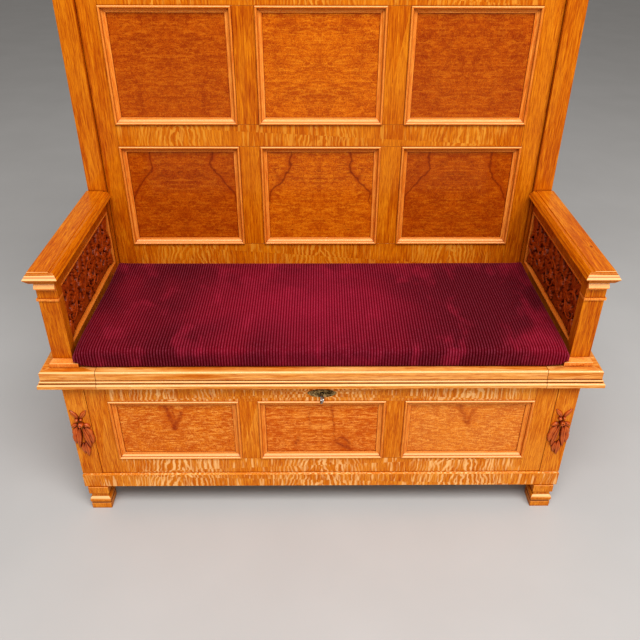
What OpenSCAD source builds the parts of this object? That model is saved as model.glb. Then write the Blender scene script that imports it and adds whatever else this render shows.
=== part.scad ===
// Hall bench with a lidded chest, carved arms, a high panelled back and coat hooks.
// Millimetres. +Z is up and the front faces -Y. The origin lies on the floor, below the
// middle of the whole object's width and depth.

/* [Overall] */
// Width over the lower nosing of the seat
seat_w = 1330; // [1320:2:1350]
// Depth from the seat nosing to the rear of the back posts
depth = 550; // [545:1:570]
// How far the key's bow stands out in front of the seat nosing
key_reach = 17; // [12:1:22]
// Height of the seat above the floor
seat_h = 450; // [448:1:456]

/* [Chest] */
// Width over the corner posts of the chest
chest_w = 1232; // [1226:2:1240]
// Height of a foot
foot_h = 76; // [70:1:80]
// Side of the square foot
foot_w = 52; // [48:1:54]
// Height of the plinth boards
plinth_h = 44; // [40:1:48]
// Thickness of the seat at its moulded edge
seat_t = 43; // [42:1:46]
// Width of the front corner posts
corner_w = 50; // [46:1:54]
// Half width of the middle front panel opening
front_mid_half = 155; // [150:0.5:160]
// Width of the two front muntins
front_muntin_w = 46; // [42:0.5:50]
// Width of the outer front stiles
front_stile_w = 51; // [48:1:54]
// Height of the bottom rail of the chest frames
bottom_rail_h = 48; // [44:1:52]
// Height of the top rail of the chest frames
top_rail_h = 52; // [48:1:56]

/* [Lid and lock] */
// Width of the hinged part of the seat
lid_w = 1054; // [1040:2:1060]
// Gap between the lid and the fixed seat ends
lid_gap = 1; // [0.8:0.1:1.5]
// Distance of the hinge axis behind the seat nosing
hinge_back = 460; // [456:1:462]
// Number of hinges
hinge_count = 3; // [2:1:3]
// Radius of the hinge pins
pin_r = 2; // [1.8:0.1:2.2]
// Radial running clearance of pins and shafts
run_gap = 0.05; // [0.03:0.01:0.08]
// Travel of the lock bolt
bolt_travel = 10; // [8:1:11]
// Tilt of the key's bow from vertical, in degrees
key_tilt = 25; // [0:5:40]

/* [Arms] */
// Height of the arm rests
arm_h = 697; // [690:1:705]
// Side of the square arm posts
arm_post_w = 46; // [44:1:48]
arm_post_d = 28; // [28:1:36]
// Distance of the middle of the arm posts from the middle plane
arm_x = 608; // [606:1:610]

/* [Back] */
// Width of the back posts
back_post_w = 48; // [46:1:50]
// Height of the bottom rail of the back
back_foot_rail_h = 80; // [76:1:84]
// Height of one panel opening
panel_h = 286; // [270:2:290]
// Height of the rails between the panels
mid_rail_h = 58; // [54:1:62]
// Half width of the middle back panel opening
back_mid_half = 160.5; // [156:0.5:164]
// Width of the back muntins
back_muntin_w = 56; // [52:1:60]
// Width of the back stiles beside the posts
back_stile_w = 50.5; // [46:0.5:54]
// Height of the rail that carries the hooks
hook_rail_h = 136; // [130:2:150]
// Number of coat hooks
hook_count = 6; // [4:1:6]
// Spacing of the coat hooks
hook_pitch = 190; // [180:2:200]
// Height of the cornice
cornice_h = 100; // [100:2:116]
// Projection of the cornice beyond the posts
cornice_out = 46; // [46:1:54]

/* [Mouldings] */
// Width of the mouldings around the flat panels
mould_w = 17; // [15:1:19]
// How far the chest mouldings stand proud of their frames
chest_proud = 4; // [3:0.5:5]
// How far the back mouldings stand proud of their frame
back_proud = 6; // [4:0.5:7]
// Depth of the panels behind their frames
recess = 8; // [7:1:9]
// Thickness of the flat panels
panel_t = 8; // [7:1:9]

/* [Cushion] */
// Width of the seat cushion
cushion_w = 1130; // [1110:5:1132]
// Thickness of the seat cushion
cushion_t = 48; // [44:1:48]

/* [Hidden] */
$fn = 48;

// Colours
oak = [0.80, 0.50, 0.20];
oak_light = [0.86, 0.60, 0.30];
oak_dark = [0.66, 0.36, 0.13];
burl = [0.76, 0.42, 0.15];
carved = [0.45, 0.17, 0.08];
brass = [0.55, 0.46, 0.26];
steel = [0.70, 0.70, 0.68];
velvet = [0.42, 0.04, 0.12];

// Small gaps
skin = 0.2;      // between neighbouring pieces of one body
rest_gap = 0.5;  // between the closed lid and what it rests on
mitre_gap = 0.05;

// Depth stations, counted from the seat nosing towards the rear
nose_y = key_reach - (depth + key_reach) / 2;
rear_y = nose_y + depth;
function st(d) = nose_y + d;
foot_y = st(10);
plinth_y = st(14);
corner_y = st(18);
frame_y = st(20);
frame_t = 24;
arm_post_y = st(45);
hinge_y = st(hinge_back);
rear_corner_y = st(depth - 62);
back_post_y = st(depth - 46);
back_frame_y = st(depth - 32);
back_frame_t = 22;

// Chest heights and widths
chest_half = chest_w / 2;
corner_in = chest_half - corner_w;
corner_t = 46;
post_z0 = foot_h + plinth_h;
seat_z0 = seat_h - seat_t;
open_z0 = post_z0 + bottom_rail_h;
open_z1 = seat_z0 - top_rail_h;
plinth_half = chest_half + 1;
plinth_t = 24;
plinth_rear_y = rear_y - 16;
foot_x = plinth_half - 8 - foot_w / 2;
front_open = [[-corner_in + front_stile_w, -front_mid_half - front_muntin_w],
    [-front_mid_half, front_mid_half],
    [front_mid_half + front_muntin_w, corner_in - front_stile_w]];
side_out = chest_half - 12;
side_in = side_out - frame_t;
side_y0 = corner_y + corner_t;
side_mid_y = (side_y0 + rear_corner_y) / 2;
side_muntin_w = 40;
bottom_t = 16;
bearer_x0 = 500;
bearer_x1 = corner_in - 6;

// Lid
lid_half = lid_w / 2;
end_x0 = lid_half + lid_gap;
lid_z0 = seat_z0 + rest_gap;
lid_board_t = 24;
lid_board_z0 = seat_h - lid_board_t;
lid_front_y1 = st(75);
lid_rear_y = hinge_y - 1;
strip_y0 = hinge_y + 1;

// Hinges
hinge_z = seat_h + 1;
knuckle_r = 4;
knuckle_l = 15;
knuckles = 5;
hinge_l = knuckles * knuckle_l;
hinge_gap = 0.4;
leaf_t = 1.5;
leaf_z0 = seat_h - 22;
leaf_z1 = hinge_z - knuckle_r - 0.5;
hinge_xs = [for (i = [0:hinge_count - 1]) (i - (hinge_count - 1) / 2) * 380];
hinge_screw_r = 1.6;
hinge_screw_l = 18;
hinge_screw_xs = [-26, 0, 26];

// Lock
lock_z = 379;
case_half = 38;
case_y0 = frame_y + frame_t;
case_t = 16;
case_wall = 1.5;
case_z0 = lock_z - 25;
case_z1 = seat_z0 - 3;
bolt_half = 15;
bolt_y = case_y0 + 5.5;
bolt_t = 5;
bolt_z0 = lock_z + 11;
shank_r = 3;
bow_r = 7.5;
bow_wire = 2.2;
escutcheon_w = 69;
escutcheon_h = 22;
escutcheon_t = 3;

// Arms
arm_post_top = arm_h - 27;
arm_rest_out = 42;      // widest edge, outwards from the post's middle
arm_rest_in = 34.5;     // widest edge, inwards from the post's middle
arm_frame_x0 = arm_x - 16;
arm_frame_x1 = arm_x + 14;
arm_y0 = arm_post_y + arm_post_d;
arm_y1 = back_post_y;
arm_open = [[arm_y0 + 9, arm_y1 - 8], [seat_h + 30, arm_post_top - 30]];
arm_panel_x = arm_frame_x0 + 8;
arm_panel_t = 10;
arm_bead_w = 8;

// Back
back_x = 586 + back_post_w / 2;
back_in = back_x - back_post_w / 2;
row_z = [for (i = [0:2]) seat_h + back_foot_rail_h + i * (panel_h + mid_rail_h)];
hook_rail_z0 = row_z[2] + panel_h;
post_top = hook_rail_z0 + hook_rail_h;
back_open = [[-back_in + back_stile_w, -back_mid_half - back_muntin_w],
    [-back_mid_half, back_mid_half],
    [back_mid_half + back_muntin_w, back_in - back_stile_w]];
cornice_z1 = post_top + cornice_h;
cornice_top_t = 16;
hook_z = hook_rail_z0 + hook_rail_h / 2 - 4;
hook_xs = [for (i = [0:hook_count - 1]) (i - (hook_count - 1) / 2) * hook_pitch];
hook_screw_dz = 37;

// Cushion
cushion_y0 = st(30);
cushion_y1 = hinge_y - knuckle_r - 1;
cushion_z0 = seat_h + 0.4;
cushion_r = 22;

// ---------------------------------------------------------------- helpers

// Points on an elliptic arc
function arc(cx, cy, rx, ry, a0, a1, n) =
    [for (i = [0:n]) let (a = a0 + (a1 - a0) * i / n) [cx + rx * cos(a), cy + ry * sin(a)]];

// A box between two corners
module block(x0, x1, y0, y1, z0, z1) {
    translate([x0, y0, z0]) cube([x1 - x0, y1 - y0, z1 - z0]);
}

// An outline in (y, z) run along X
module run_x(x0, x1) {
    translate([x0, 0, 0]) rotate([90, 0, 90]) linear_extrude(x1 - x0) children();
}

// An outline in (x, z) run along Y
module run_y(y0, y1) {
    translate([0, y1, 0]) rotate([90, 0, 0]) linear_extrude(y1 - y0) children();
}

// A shape on the right-hand side and its mirror image on the left
module pair() {
    children();
    mirror([1, 0, 0]) children();
}

// The mirror image only
module left_side() {
    mirror([1, 0, 0]) children();
}

// Half profile of a panel moulding: [distance from the frame's edge, height above the panel]
function mould_edge(w, h) = concat(
    [[0, 0], [0, h - 3]],
    arc(3, h - 3, 3, 3, 180, 0, 8),
    [[6.6, h - 4]],
    arc(w - 1.5, h - 4, w - 8.1, h - 6.5, 180, 270, 6),
    [[w, 2.5], [w, 0]]);

// Four mitred strips around an opening of w by h, standing on the plane z = 0
module mitred_frame(w, h, strip_w, rise) {
    for (side = [0:3]) {
        long = side % 2 == 0 ? w : h;
        across = side % 2 == 0 ? h : w;
        rotate([0, 0, 90 * side]) translate([0, -across / 2, 0]) intersection() {
            run_x(-long / 2, long / 2) polygon(mould_edge(strip_w, rise));
            translate([0, 0, -1]) linear_extrude(rise + 2) polygon([
                [-long / 2 + mitre_gap, 0], [long / 2 - mitre_gap, 0],
                [long / 2 - strip_w - mitre_gap, strip_w],
                [-long / 2 + strip_w + mitre_gap, strip_w]]);
        }
    }
}

// ---------------------------------------------------------------- feet and plinth

// Outline of half a foot: [half width, height]
function foot_edge() = let (half = foot_w / 2) concat(
    [[half, foot_h], [half, foot_h - 22], [half - 4.5, foot_h - 24], [half - 4.5, 41]],
    arc(half - 5.5, 29.5, 6.5, 11, 90, -90, 10),
    [[half - 0.5, 18], [half - 0.5, 0]]);

module foot_outline() {
    edge = foot_edge();
    polygon(concat(edge, [for (i = [len(edge) - 1:-1:0]) [-edge[i][0], edge[i][1]]]));
}

module feet(y) {
    color(oak) pair() translate([foot_x, y + foot_w / 2, 0]) intersection() {
        run_x(-foot_w, foot_w) foot_outline();
        run_y(-foot_w, foot_w) foot_outline();
    }
}
module front_feet() { feet(foot_y); }
module rear_feet() { feet(plinth_rear_y - foot_w); }

// Section of a plinth board with a chamfered top edge, starting at its outer face
module plinth_section() {
    polygon([[0, foot_h], [0, post_z0 - 3.5], [3, post_z0], [plinth_t, post_z0],
        [plinth_t, foot_h]]);
}

module plinth_front() {
    inner = plinth_half - plinth_t;
    color(oak_light) intersection() {
        translate([0, plinth_y, 0]) run_x(-plinth_half, plinth_half) plinth_section();
        linear_extrude(post_z0 + 1) polygon([[-plinth_half, plinth_y], [plinth_half, plinth_y],
            [inner, plinth_y + plinth_t], [-inner, plinth_y + plinth_t]]);
    }
}

module plinth_sides() {
    inner = plinth_half - plinth_t;
    color(oak_light) pair() intersection() {
        run_y(plinth_y, plinth_rear_y) translate([plinth_half, 0]) mirror([1, 0])
            plinth_section();
        linear_extrude(post_z0 + 1) polygon([[plinth_half, plinth_y + skin],
            [plinth_half, plinth_rear_y], [inner, plinth_rear_y],
            [inner, plinth_y + plinth_t + skin]]);
    }
}

module plinth_rear() {
    inner = plinth_half - plinth_t - skin;
    color(oak_dark) block(-inner, inner, plinth_rear_y - 20, plinth_rear_y, foot_h, post_z0);
}

module plinth_blocks() {
    x1 = plinth_half - plinth_t - skin;
    y0 = plinth_y + plinth_t + skin;
    y1 = plinth_rear_y - 20 - skin;
    color(oak_dark) pair() {
        block(x1 - 50, x1, y0, y0 + 50, foot_h, post_z0);
        block(x1 - 50, x1, y1 - 50, y1, foot_h, post_z0);
    }
}

module bottom_bearers() {
    color(oak_dark) for (x = [-400, 0, 400])
        block(x - 20, x + 20, plinth_y + plinth_t + skin, plinth_rear_y - 20 - skin,
            post_z0 - 24, post_z0);
}

module chest_bottom() {
    y0 = frame_y + frame_t + 0.5;
    y1 = rear_corner_y + 23;
    color(oak_dark) difference() {
        block(-side_in + 0.5, side_in - 0.5, y0, y1, post_z0, post_z0 + bottom_t);
        pair() {
            block(corner_in - 0.4, chest_half, y0 - 1, side_y0 + 0.4, 0, seat_h);
            block(corner_in - 0.4, chest_half, rear_corner_y - 0.4, y1 + 1, 0, seat_h);
        }
    }
}

// ---------------------------------------------------------------- chest front

module corner_post() {
    color(oak) block(corner_in, chest_half, corner_y, corner_y + corner_t, post_z0, seat_z0);
}
module front_pilaster_right() { corner_post(); }
module front_pilaster_left() { left_side() corner_post(); }

// A pointed leaf outline that grows along +Y from the origin
module leaf(l, w) {
    n = 8;
    polygon(concat([for (i = [0:n]) [w / 2 * sin(180 * i / n), l * i / n]],
        [for (i = [n - 1:-1:1]) [-w / 2 * sin(180 * i / n), l * i / n]]));
}

// Applied carving: a pair of ears above, a bud in the middle and a fan of leaves below
module leaf_drop() {
    x = chest_half - corner_w / 2;
    bud_z = 274;
    fan = [-140, -160, 180, 160, 140];
    color(carved) translate([x, corner_y, bud_z]) rotate([90, 0, 0]) {
        linear_extrude(7) {
            for (s = [-1, 1]) rotate(-22 * s) translate([0, 18]) leaf(44, 15);
            for (a = fan) rotate(a) translate([0, 4]) leaf(abs(a) > 150 ? 86 : 36, 18);
            circle(r = 11);
            translate([0, 16]) circle(r = 9);
        }
        for (s = [-1, 0, 1]) translate([7 * s, 6 - 6 * abs(s), 6]) sphere(r = 6);
    }
}
module leaf_drop_right() { leaf_drop(); }
module leaf_drop_left() { left_side() leaf_drop(); }

// The grooved space that the panels of a frame in the XZ plane need
module panel_slots(opens, z0, z1, y) {
    for (o = opens) block(o[0] - 6.5, o[1] + 6.5, y - skin, y + panel_t + skin,
        z0 - 6.5, z1 + 6.5);
}

// Keyhole outline with its slot for the bit, in (x, z) about the key's axis
module keyhole(grow) {
    circle(r = shank_r + grow);
    translate([-1.5 - grow / 2, -10 - grow]) square([3 + grow, 10]);
}

module keyhole_cut(y0, y1, grow) {
    translate([0, 0, lock_z]) run_y(y0, y1) keyhole(grow);
}

module front_rails() {
    x = corner_in - front_stile_w - skin;
    y1 = frame_y + frame_t;
    color(oak_light) difference() {
        union() {
            block(-x, x, frame_y, y1, post_z0, open_z0);
            block(-x, x, frame_y, y1, open_z1, seat_z0);
        }
        panel_slots(front_open, open_z0, open_z1, frame_y + recess);
        keyhole_cut(frame_y - 1, y1 + 1, 1.5);
    }
}

module front_stiles() {
    y1 = frame_y + frame_t;
    color(oak) difference() {
        union() {
            pair() block(corner_in - front_stile_w, corner_in - skin, frame_y, y1, post_z0,
                seat_z0);
            pair() block(front_mid_half, front_mid_half + front_muntin_w, frame_y, y1,
                open_z0 + skin, open_z1 - skin);
        }
        panel_slots(front_open, open_z0, open_z1, frame_y + recess);
    }
}

module front_panels() {
    y0 = frame_y + recess;
    color(burl) for (o = front_open)
        block(o[0] - 6, o[1] + 6, y0, y0 + panel_t, open_z0 - 6, open_z1 + 6);
}

// Mouldings for a frame in the XZ plane whose panels face -Y
module mouldings(opens, z0, z1, y, proud) {
    for (o = opens)
        translate([(o[0] + o[1]) / 2, y + recess, (z0 + z1) / 2]) rotate([90, 0, 0])
            mitred_frame(o[1] - o[0], z1 - z0, mould_w, recess + proud);
}

module front_mouldings() {
    color(oak_light) mouldings(front_open, open_z0, open_z1, frame_y, chest_proud);
}

// ---------------------------------------------------------------- chest sides and rear

side_open = [[side_y0 + 34, side_mid_y - side_muntin_w / 2],
    [side_mid_y + side_muntin_w / 2, rear_corner_y - 34]];

module side_slots() {
    for (o = side_open) block(side_out - recess - panel_t - skin, side_out - recess + skin,
        o[0] - 6.5, o[1] + 6.5, open_z0 - 6.5, open_z1 + 6.5);
}

module side_rails() {
    color(oak_light) pair() difference() {
        union() {
            block(side_in, side_out, side_y0 + 34, rear_corner_y - 34, post_z0, open_z0);
            block(side_in, side_out, side_y0 + 34, rear_corner_y - 34, open_z1, seat_z0);
        }
        side_slots();
    }
}

module side_muntins() {
    color(oak) pair() difference() {
        union() {
            block(side_in, side_out, side_y0 + skin, side_y0 + 34 - skin, post_z0, seat_z0);
            block(side_in, side_out, rear_corner_y - 34 + skin, rear_corner_y - skin,
                post_z0, seat_z0);
            block(side_in, side_out, side_mid_y - side_muntin_w / 2,
                side_mid_y + side_muntin_w / 2, open_z0 + skin, open_z1 - skin);
        }
        side_slots();
    }
}

module side_panels() {
    color(burl) pair() for (o = side_open)
        block(side_out - recess - panel_t, side_out - recess, o[0] - 6, o[1] + 6,
            open_z0 - 6, open_z1 + 6);
}

module side_mouldings() {
    color(oak_light) pair() for (o = side_open)
        translate([side_out - recess, (o[0] + o[1]) / 2, (open_z0 + open_z1) / 2])
            rotate([90, 0, 90])
            mitred_frame(o[1] - o[0], open_z1 - open_z0, mould_w, recess + chest_proud);
}

module rear_corner_posts() {
    color(oak) pair() block(corner_in, chest_half, rear_corner_y, rear_corner_y + corner_t,
        post_z0, seat_z0);
}

module rear_rail() {
    color(oak_dark) block(-corner_in + skin, corner_in - skin, rear_corner_y,
        rear_corner_y + frame_t - skin, seat_z0 - 40, seat_z0);
}

module chest_back() {
    boards = 4;
    board_h = (seat_z0 - post_z0) / boards;
    color(oak_dark) for (i = [0:boards - 1])
        block(-corner_in + skin, corner_in - skin, rear_corner_y + frame_t,
            rear_corner_y + frame_t + 14, post_z0 + i * board_h + 0.5,
            post_z0 + (i + 1) * board_h - 0.5);
}

module seat_bearers() {
    color(oak_dark) pair() block(bearer_x0, bearer_x1, frame_y + frame_t + skin,
        rear_corner_y - skin, seat_z0 - 24, seat_z0);
}

// ---------------------------------------------------------------- seat

// Moulded edge of the seat: [distance in from the outermost line, height below the top]
function seat_edge() = concat(
    arc(13, -5, 5, 5, 90, 180, 8),
    [[8, -22.5], [9.5, -23], [9.5, -24.5]],
    arc(7.5, -27.5, 3, 3, 90, 270, 10),
    [[7.5, -31.5]],
    arc(5, -36.5, 5, 5, 90, 180, 8));

module seat_front_outline(y1, z0) {
    polygon(concat([for (p = seat_edge()) [nose_y + p[0], seat_h + p[1]]],
        [[nose_y, z0], [y1, z0], [y1, seat_h]]));
}

module seat_side_outline(x0, z0) {
    polygon(concat([for (p = seat_edge()) [seat_w / 2 - p[0], seat_h + p[1]]],
        [[seat_w / 2, z0], [x0, z0], [x0, seat_h]]));
}

dowel_r = 8;
dowel_z0 = seat_z0 + 8;
dowel_z1 = seat_h + 36;
dowel_spots = [[arm_x, arm_post_y + arm_post_d / 2], [back_x, back_post_y + 23]];

module dowel_cut() {
    pair() for (p = dowel_spots) translate([p[0], p[1], dowel_z0 - 1])
        cylinder(r = dowel_r + run_gap, h = dowel_z1 - dowel_z0 + 2);
}

module post_dowels() {
    color(oak_dark) pair() for (p = dowel_spots) translate([p[0], p[1], dowel_z0])
        cylinder(r = dowel_r, h = dowel_z1 - dowel_z0);
}

module seat_end() {
    color(oak) difference() {
        intersection() {
            run_x(end_x0, seat_w / 2 + 1) seat_front_outline(rear_y, seat_z0);
            run_y(nose_y - 1, rear_y) seat_side_outline(end_x0, seat_z0);
        }
        dowel_cut();
    }
}
module seat_end_right() { seat_end(); }
module seat_end_left() { left_side() seat_end(); }

// Screws that hold the hinge leaves, set along Y from the leaf's face; dir is -1 for the lid
module screw_row(y, dir, r, l) {
    for (hx = hinge_xs, sx = hinge_screw_xs)
        translate([hx + sx, y, (leaf_z0 + leaf_z1) / 2]) rotate([-90 * dir, 0, 0])
            cylinder(r = r, h = l);
}

// Room for the knuckles, cut into the edges beside the hinge axis
module knuckle_room() {
    for (hx = hinge_xs) translate([hx - hinge_l / 2 - 1, hinge_y, hinge_z]) rotate([0, 90, 0])
        cylinder(r = knuckle_r + 0.6, h = hinge_l + 2);
}

module leaf_pockets() {
    for (hx = hinge_xs) block(hx - hinge_l / 2 - skin, hx + hinge_l / 2 + skin,
        hinge_y - 1 - leaf_t - 0.1, hinge_y + 1 + leaf_t + 0.1, leaf_z0 - skin, seat_h + 1);
}

module seat_rear_strip() {
    color(oak) difference() {
        block(-end_x0 + skin, end_x0 - skin, strip_y0, rear_y, seat_z0, seat_h);
        knuckle_room();
        leaf_pockets();
        screw_row(strip_y0, 1, hinge_screw_r + 0.02, hinge_screw_l + 1);
    }
}

module lid_board() {
    color(oak) difference() {
        block(-lid_half, lid_half, lid_front_y1 + skin, lid_rear_y, lid_board_z0, seat_h);
        knuckle_room();
        leaf_pockets();
        screw_row(lid_rear_y, -1, hinge_screw_r + 0.02, hinge_screw_l + 1);
    }
}

strike_t = 1.5;
module bolt_mortise(z0, z1, grow) {
    block(-bolt_half - grow, bolt_half + grow, bolt_y - grow, bolt_y + bolt_t + grow, z0, z1);
}

module strike_body(grow) {
    block(-28 - grow, 28 + grow, bolt_y - 8 - grow, bolt_y + bolt_t + 6 + grow,
        lid_z0 - grow, lid_z0 + strike_t + grow);
}

module lid_front_moulding() {
    color(oak_light) difference() {
        run_x(-lid_half, lid_half) seat_front_outline(lid_front_y1, lid_z0);
        bolt_mortise(lid_z0 - 1, seat_z0 + bolt_travel + 4, 1.5);
        strike_body(0.05);
    }
}

module lid_battens() {
    y0 = lid_front_y1 + skin;
    color(oak_dark) {
        pair() block(lid_half - 40, lid_half, y0, lid_rear_y - 12, lid_z0, lid_board_z0 - skin);
        block(-20, 20, y0, lid_rear_y - 12, lid_z0, lid_board_z0 - skin);
    }
}

// ---------------------------------------------------------------- hinges

// Knuckles of one leaf: first is 0 for the fixed leaf and 1 for the lid's
module knuckle_set(first, dir) {
    for (hx = hinge_xs) difference() {
        union() {
            y_face = hinge_y + dir;
            y_back = hinge_y + dir * (1 + leaf_t);
            block(hx - hinge_l / 2, hx + hinge_l / 2, min(y_face, y_back),
                max(y_face, y_back), leaf_z0, leaf_z1);
            for (i = [first:2:knuckles - 1]) {
                x0 = hx - hinge_l / 2 + i * knuckle_l + hinge_gap / 2;
                translate([x0, hinge_y, hinge_z]) rotate([0, 90, 0])
                    cylinder(r = knuckle_r, h = knuckle_l - hinge_gap);
                block(x0, x0 + knuckle_l - hinge_gap, min(y_face, y_back),
                    max(y_face, y_back), leaf_z1 - 1, hinge_z);
            }
        }
        translate([hx - hinge_l, hinge_y, hinge_z]) rotate([0, 90, 0])
            cylinder(r = pin_r + run_gap, h = 2 * hinge_l);
        screw_row(hinge_y - 4, 1, hinge_screw_r + 0.02, 8);
    }
}

module hinge_fixed_leaves() { color(brass) knuckle_set(0, 1); }
module hinge_lid_leaves() { color(brass) knuckle_set(1, -1); }

module hinge_pins() {
    color(brass) for (hx = hinge_xs) translate([hx - hinge_l / 2, hinge_y, hinge_z])
        rotate([0, 90, 0]) cylinder(r = pin_r, h = hinge_l);
}

module hinge_strip_screws() {
    color(steel) screw_row(strip_y0, 1, hinge_screw_r, hinge_screw_l);
}
module hinge_lid_screws() {
    color(steel) screw_row(lid_rear_y, -1, hinge_screw_r, hinge_screw_l);
}

// ---------------------------------------------------------------- lock and key

module lock_case() {
    y1 = case_y0 + case_t;
    color(steel) difference() {
        block(-case_half, case_half, case_y0, y1, case_z0, case_z1);
        block(-case_half + case_wall, case_half - case_wall, case_y0 + case_wall,
            y1 - case_wall, case_z0 + case_wall, case_z1 - case_wall);
        bolt_mortise(case_z1 - 3, case_z1 + 1, 0.4);
        keyhole_cut(case_y0 - 1, case_y0 + case_wall + 1, 0.5);
    }
}

module lock_bolt() {
    color(brass) block(-bolt_half, bolt_half, bolt_y, bolt_y + bolt_t, bolt_z0,
        case_z1 - 0.2);
}

module strike_plate() {
    color(brass) difference() {
        strike_body(0);
        bolt_mortise(lid_z0 - 1, lid_z0 + 4, 1.5);
    }
}

module escutcheon() {
    color(brass) difference() {
        translate([0, 0, lock_z]) {
            run_y(frame_y - 2, frame_y)
                polygon(arc(0, 0, escutcheon_w / 2, escutcheon_h / 2, 0, 350, 35));
            run_y(frame_y - escutcheon_t, frame_y)
                polygon(arc(0, 0, escutcheon_w / 2 - 4, escutcheon_h / 2 - 3, 0, 350, 35));
        }
        keyhole_cut(frame_y - escutcheon_t - 1, frame_y + 1, 0.5);
    }
}

module key() {
    bow_y = nose_y - key_reach + bow_r + bow_wire;
    color(steel) translate([0, 0, lock_z]) rotate([0, key_tilt, 0]) {
        translate([0, bow_y + bow_r, 0]) rotate([-90, 0, 0])
            cylinder(r = shank_r, h = case_y0 + case_t - 4 - bow_y - bow_r);
        translate([0, bow_y + bow_r + 3, 0]) rotate([-90, 0, 0])
            cylinder(r = shank_r + 1.2, h = 3);
        translate([0, bow_y, 0]) rotate([0, 90, 0]) rotate_extrude()
            translate([bow_r, 0]) circle(r = bow_wire);
        block(-1.2, 1.2, case_y0 + 2, case_y0 + 4.8, -9, 0);
    }
}

// ---------------------------------------------------------------- arms

module arm_posts() {
    color(oak) difference() {
        pair() block(arm_x - arm_post_w / 2, arm_x + arm_post_w / 2, arm_post_y,
            arm_y0, seat_h, arm_post_top);
        dowel_cut();
    }
}

// A collar that wraps three sides of the arm post, from one inner and outer reach to another
module arm_collar(front, inner, outer, z0, z1) {
    difference() {
        block(arm_x - arm_post_w / 2 - inner, arm_x + arm_post_w / 2 + outer,
            arm_post_y - front, arm_y0 - skin, z0, z1);
        block(arm_x - arm_post_w / 2, arm_x + arm_post_w / 2, arm_post_y, arm_y0 + 1,
            z0 - 1, z1 + 1);
    }
}

capital_block_z0 = arm_post_top - 14;
module arm_capitals() {
    x0 = arm_x - arm_post_w / 2;
    x1 = arm_x + arm_post_w / 2;
    color(oak_light) pair() {
        arm_collar(3, 1, 3, arm_post_top - 48, arm_post_top - 42);
        run_x(x0, x1) polygon(concat(
            [[arm_post_y, capital_block_z0 - 9]],
            arc(arm_post_y - 7, capital_block_z0 - 9, 7, 9, 0, 90, 6),
            [[arm_post_y - 10, capital_block_z0], [arm_post_y - 10, capital_block_z0 + 2],
                [arm_post_y - 4, arm_post_top], [arm_post_y, arm_post_top]]));
    }
}

module arm_base_mouldings() {
    z1 = seat_h + 15;
    edge_z = seat_h + 10;
    edge_r = 1.5;
    reach_in = 17;
    reach_front = 17;
    reach_out = 5;
    x0 = arm_x - arm_post_w / 2;
    x1 = arm_x + arm_post_w / 2;
    // Outline of one edge: upright outside, then sloping up to the post's face
    color(oak_light) pair() difference() {
        intersection() {
            run_x(x0 - reach_in, x1 + reach_out) polygon(concat(
                [[arm_y0 - skin, seat_h], [arm_post_y - reach_front, seat_h]],
                arc(arm_post_y - reach_front + edge_r, edge_z, edge_r, edge_r, 180, 90, 4),
                [[arm_post_y, z1], [arm_y0 - skin, z1]]));
            run_y(arm_post_y - reach_front, arm_y0 - skin) polygon(concat(
                [[x1 + reach_out, seat_h], [x0 - reach_in, seat_h]],
                arc(x0 - reach_in + edge_r, edge_z, edge_r, edge_r, 180, 90, 4),
                [[x0, z1], [x1, z1], [x1 + reach_out, edge_z]]));
        }
        block(x0, x1, arm_post_y, arm_y0 + 1, seat_h - 1, z1 + 1);
    }
}

// Moulded edge of the arm rest: [distance in from the widest line, height below the top]
function rest_edge() = [[0, -16], [6, -7], [8, -6.5], [8, -4.5], [10, -4.5], [10.5, -0.6],
    [11.5, 0]];

module arm_rests() {
    x_out = arm_x + arm_rest_out;
    x_in = arm_x - arm_rest_in;
    front = arm_post_y - 16;
    color(oak) pair() intersection() {
        run_y(front - 1, arm_y1) polygon(concat(
            [for (p = rest_edge()) [x_out - p[0], arm_h + p[1]]],
            [[x_in + 20, arm_h], [x_in + 19, arm_h - 2], [x_in + 17.5, arm_h - 2]],
            arc(x_in + 13, arm_h - 6.5, 4.5, 5, 60, 150, 6),
            [[x_in + 5, arm_h - 8], [x_in, arm_h - 16], [x_in + 2, arm_h - 18]],
            arc(x_in + 2, arm_h - 27, 7.5, 8, 90, 0, 6),
            [[x_out - 10, arm_h - 27]]));
        run_x(x_in - 1, x_out + 1) polygon(concat(
            [for (p = rest_edge()) [front + p[0], arm_h + p[1]]],
            [[arm_y1, arm_h], [arm_y1, arm_post_top], [front + 7, arm_post_top],
                [front + 1, arm_h - 19]]));
    }
}

module arm_frames() {
    y0 = arm_open[0][0];
    y1 = arm_open[0][1];
    z0 = arm_open[1][0];
    z1 = arm_open[1][1];
    color(oak) pair() difference() {
        union() {
            block(arm_frame_x0, arm_frame_x1, arm_y0, arm_y1, seat_h, z0);
            block(arm_frame_x0, arm_frame_x1, arm_y0, arm_y1, z1, arm_post_top);
            block(arm_frame_x0, arm_frame_x1, arm_y0, y0, z0, z1);
            block(arm_frame_x0, arm_frame_x1, y1, arm_y1, z0, z1);
        }
        block(arm_panel_x - skin, arm_panel_x + arm_panel_t + skin, y0 - 6.5, y1 + 6.5,
            z0 - 6.5, z1 + 6.5);
    }
}

module arm_panels() {
    color(carved) pair() block(arm_panel_x, arm_panel_x + arm_panel_t, arm_open[0][0] - 6,
        arm_open[0][1] + 6, arm_open[1][0] - 6, arm_open[1][1] + 6);
}

// Scrolls and leaves carved on the inner face of the arm panel
module arm_carvings() {
    mid_y = (arm_open[0][0] + arm_open[0][1]) / 2;
    mid_z = (arm_open[1][0] + arm_open[1][1]) / 2;
    pitch = (arm_open[0][1] - arm_open[0][0] - 60) / 3;
    color(carved) pair() translate([arm_panel_x, mid_y, mid_z]) rotate([90, 0, -90])
        for (i = [-1:1]) translate([i * pitch, 0, 0]) {
            linear_extrude(8) difference() {
                circle(r = 44);
                circle(r = 34);
            }
            linear_extrude(6) for (a = [0:72:288]) rotate(a) leaf(33, 16);
        }
}

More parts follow.
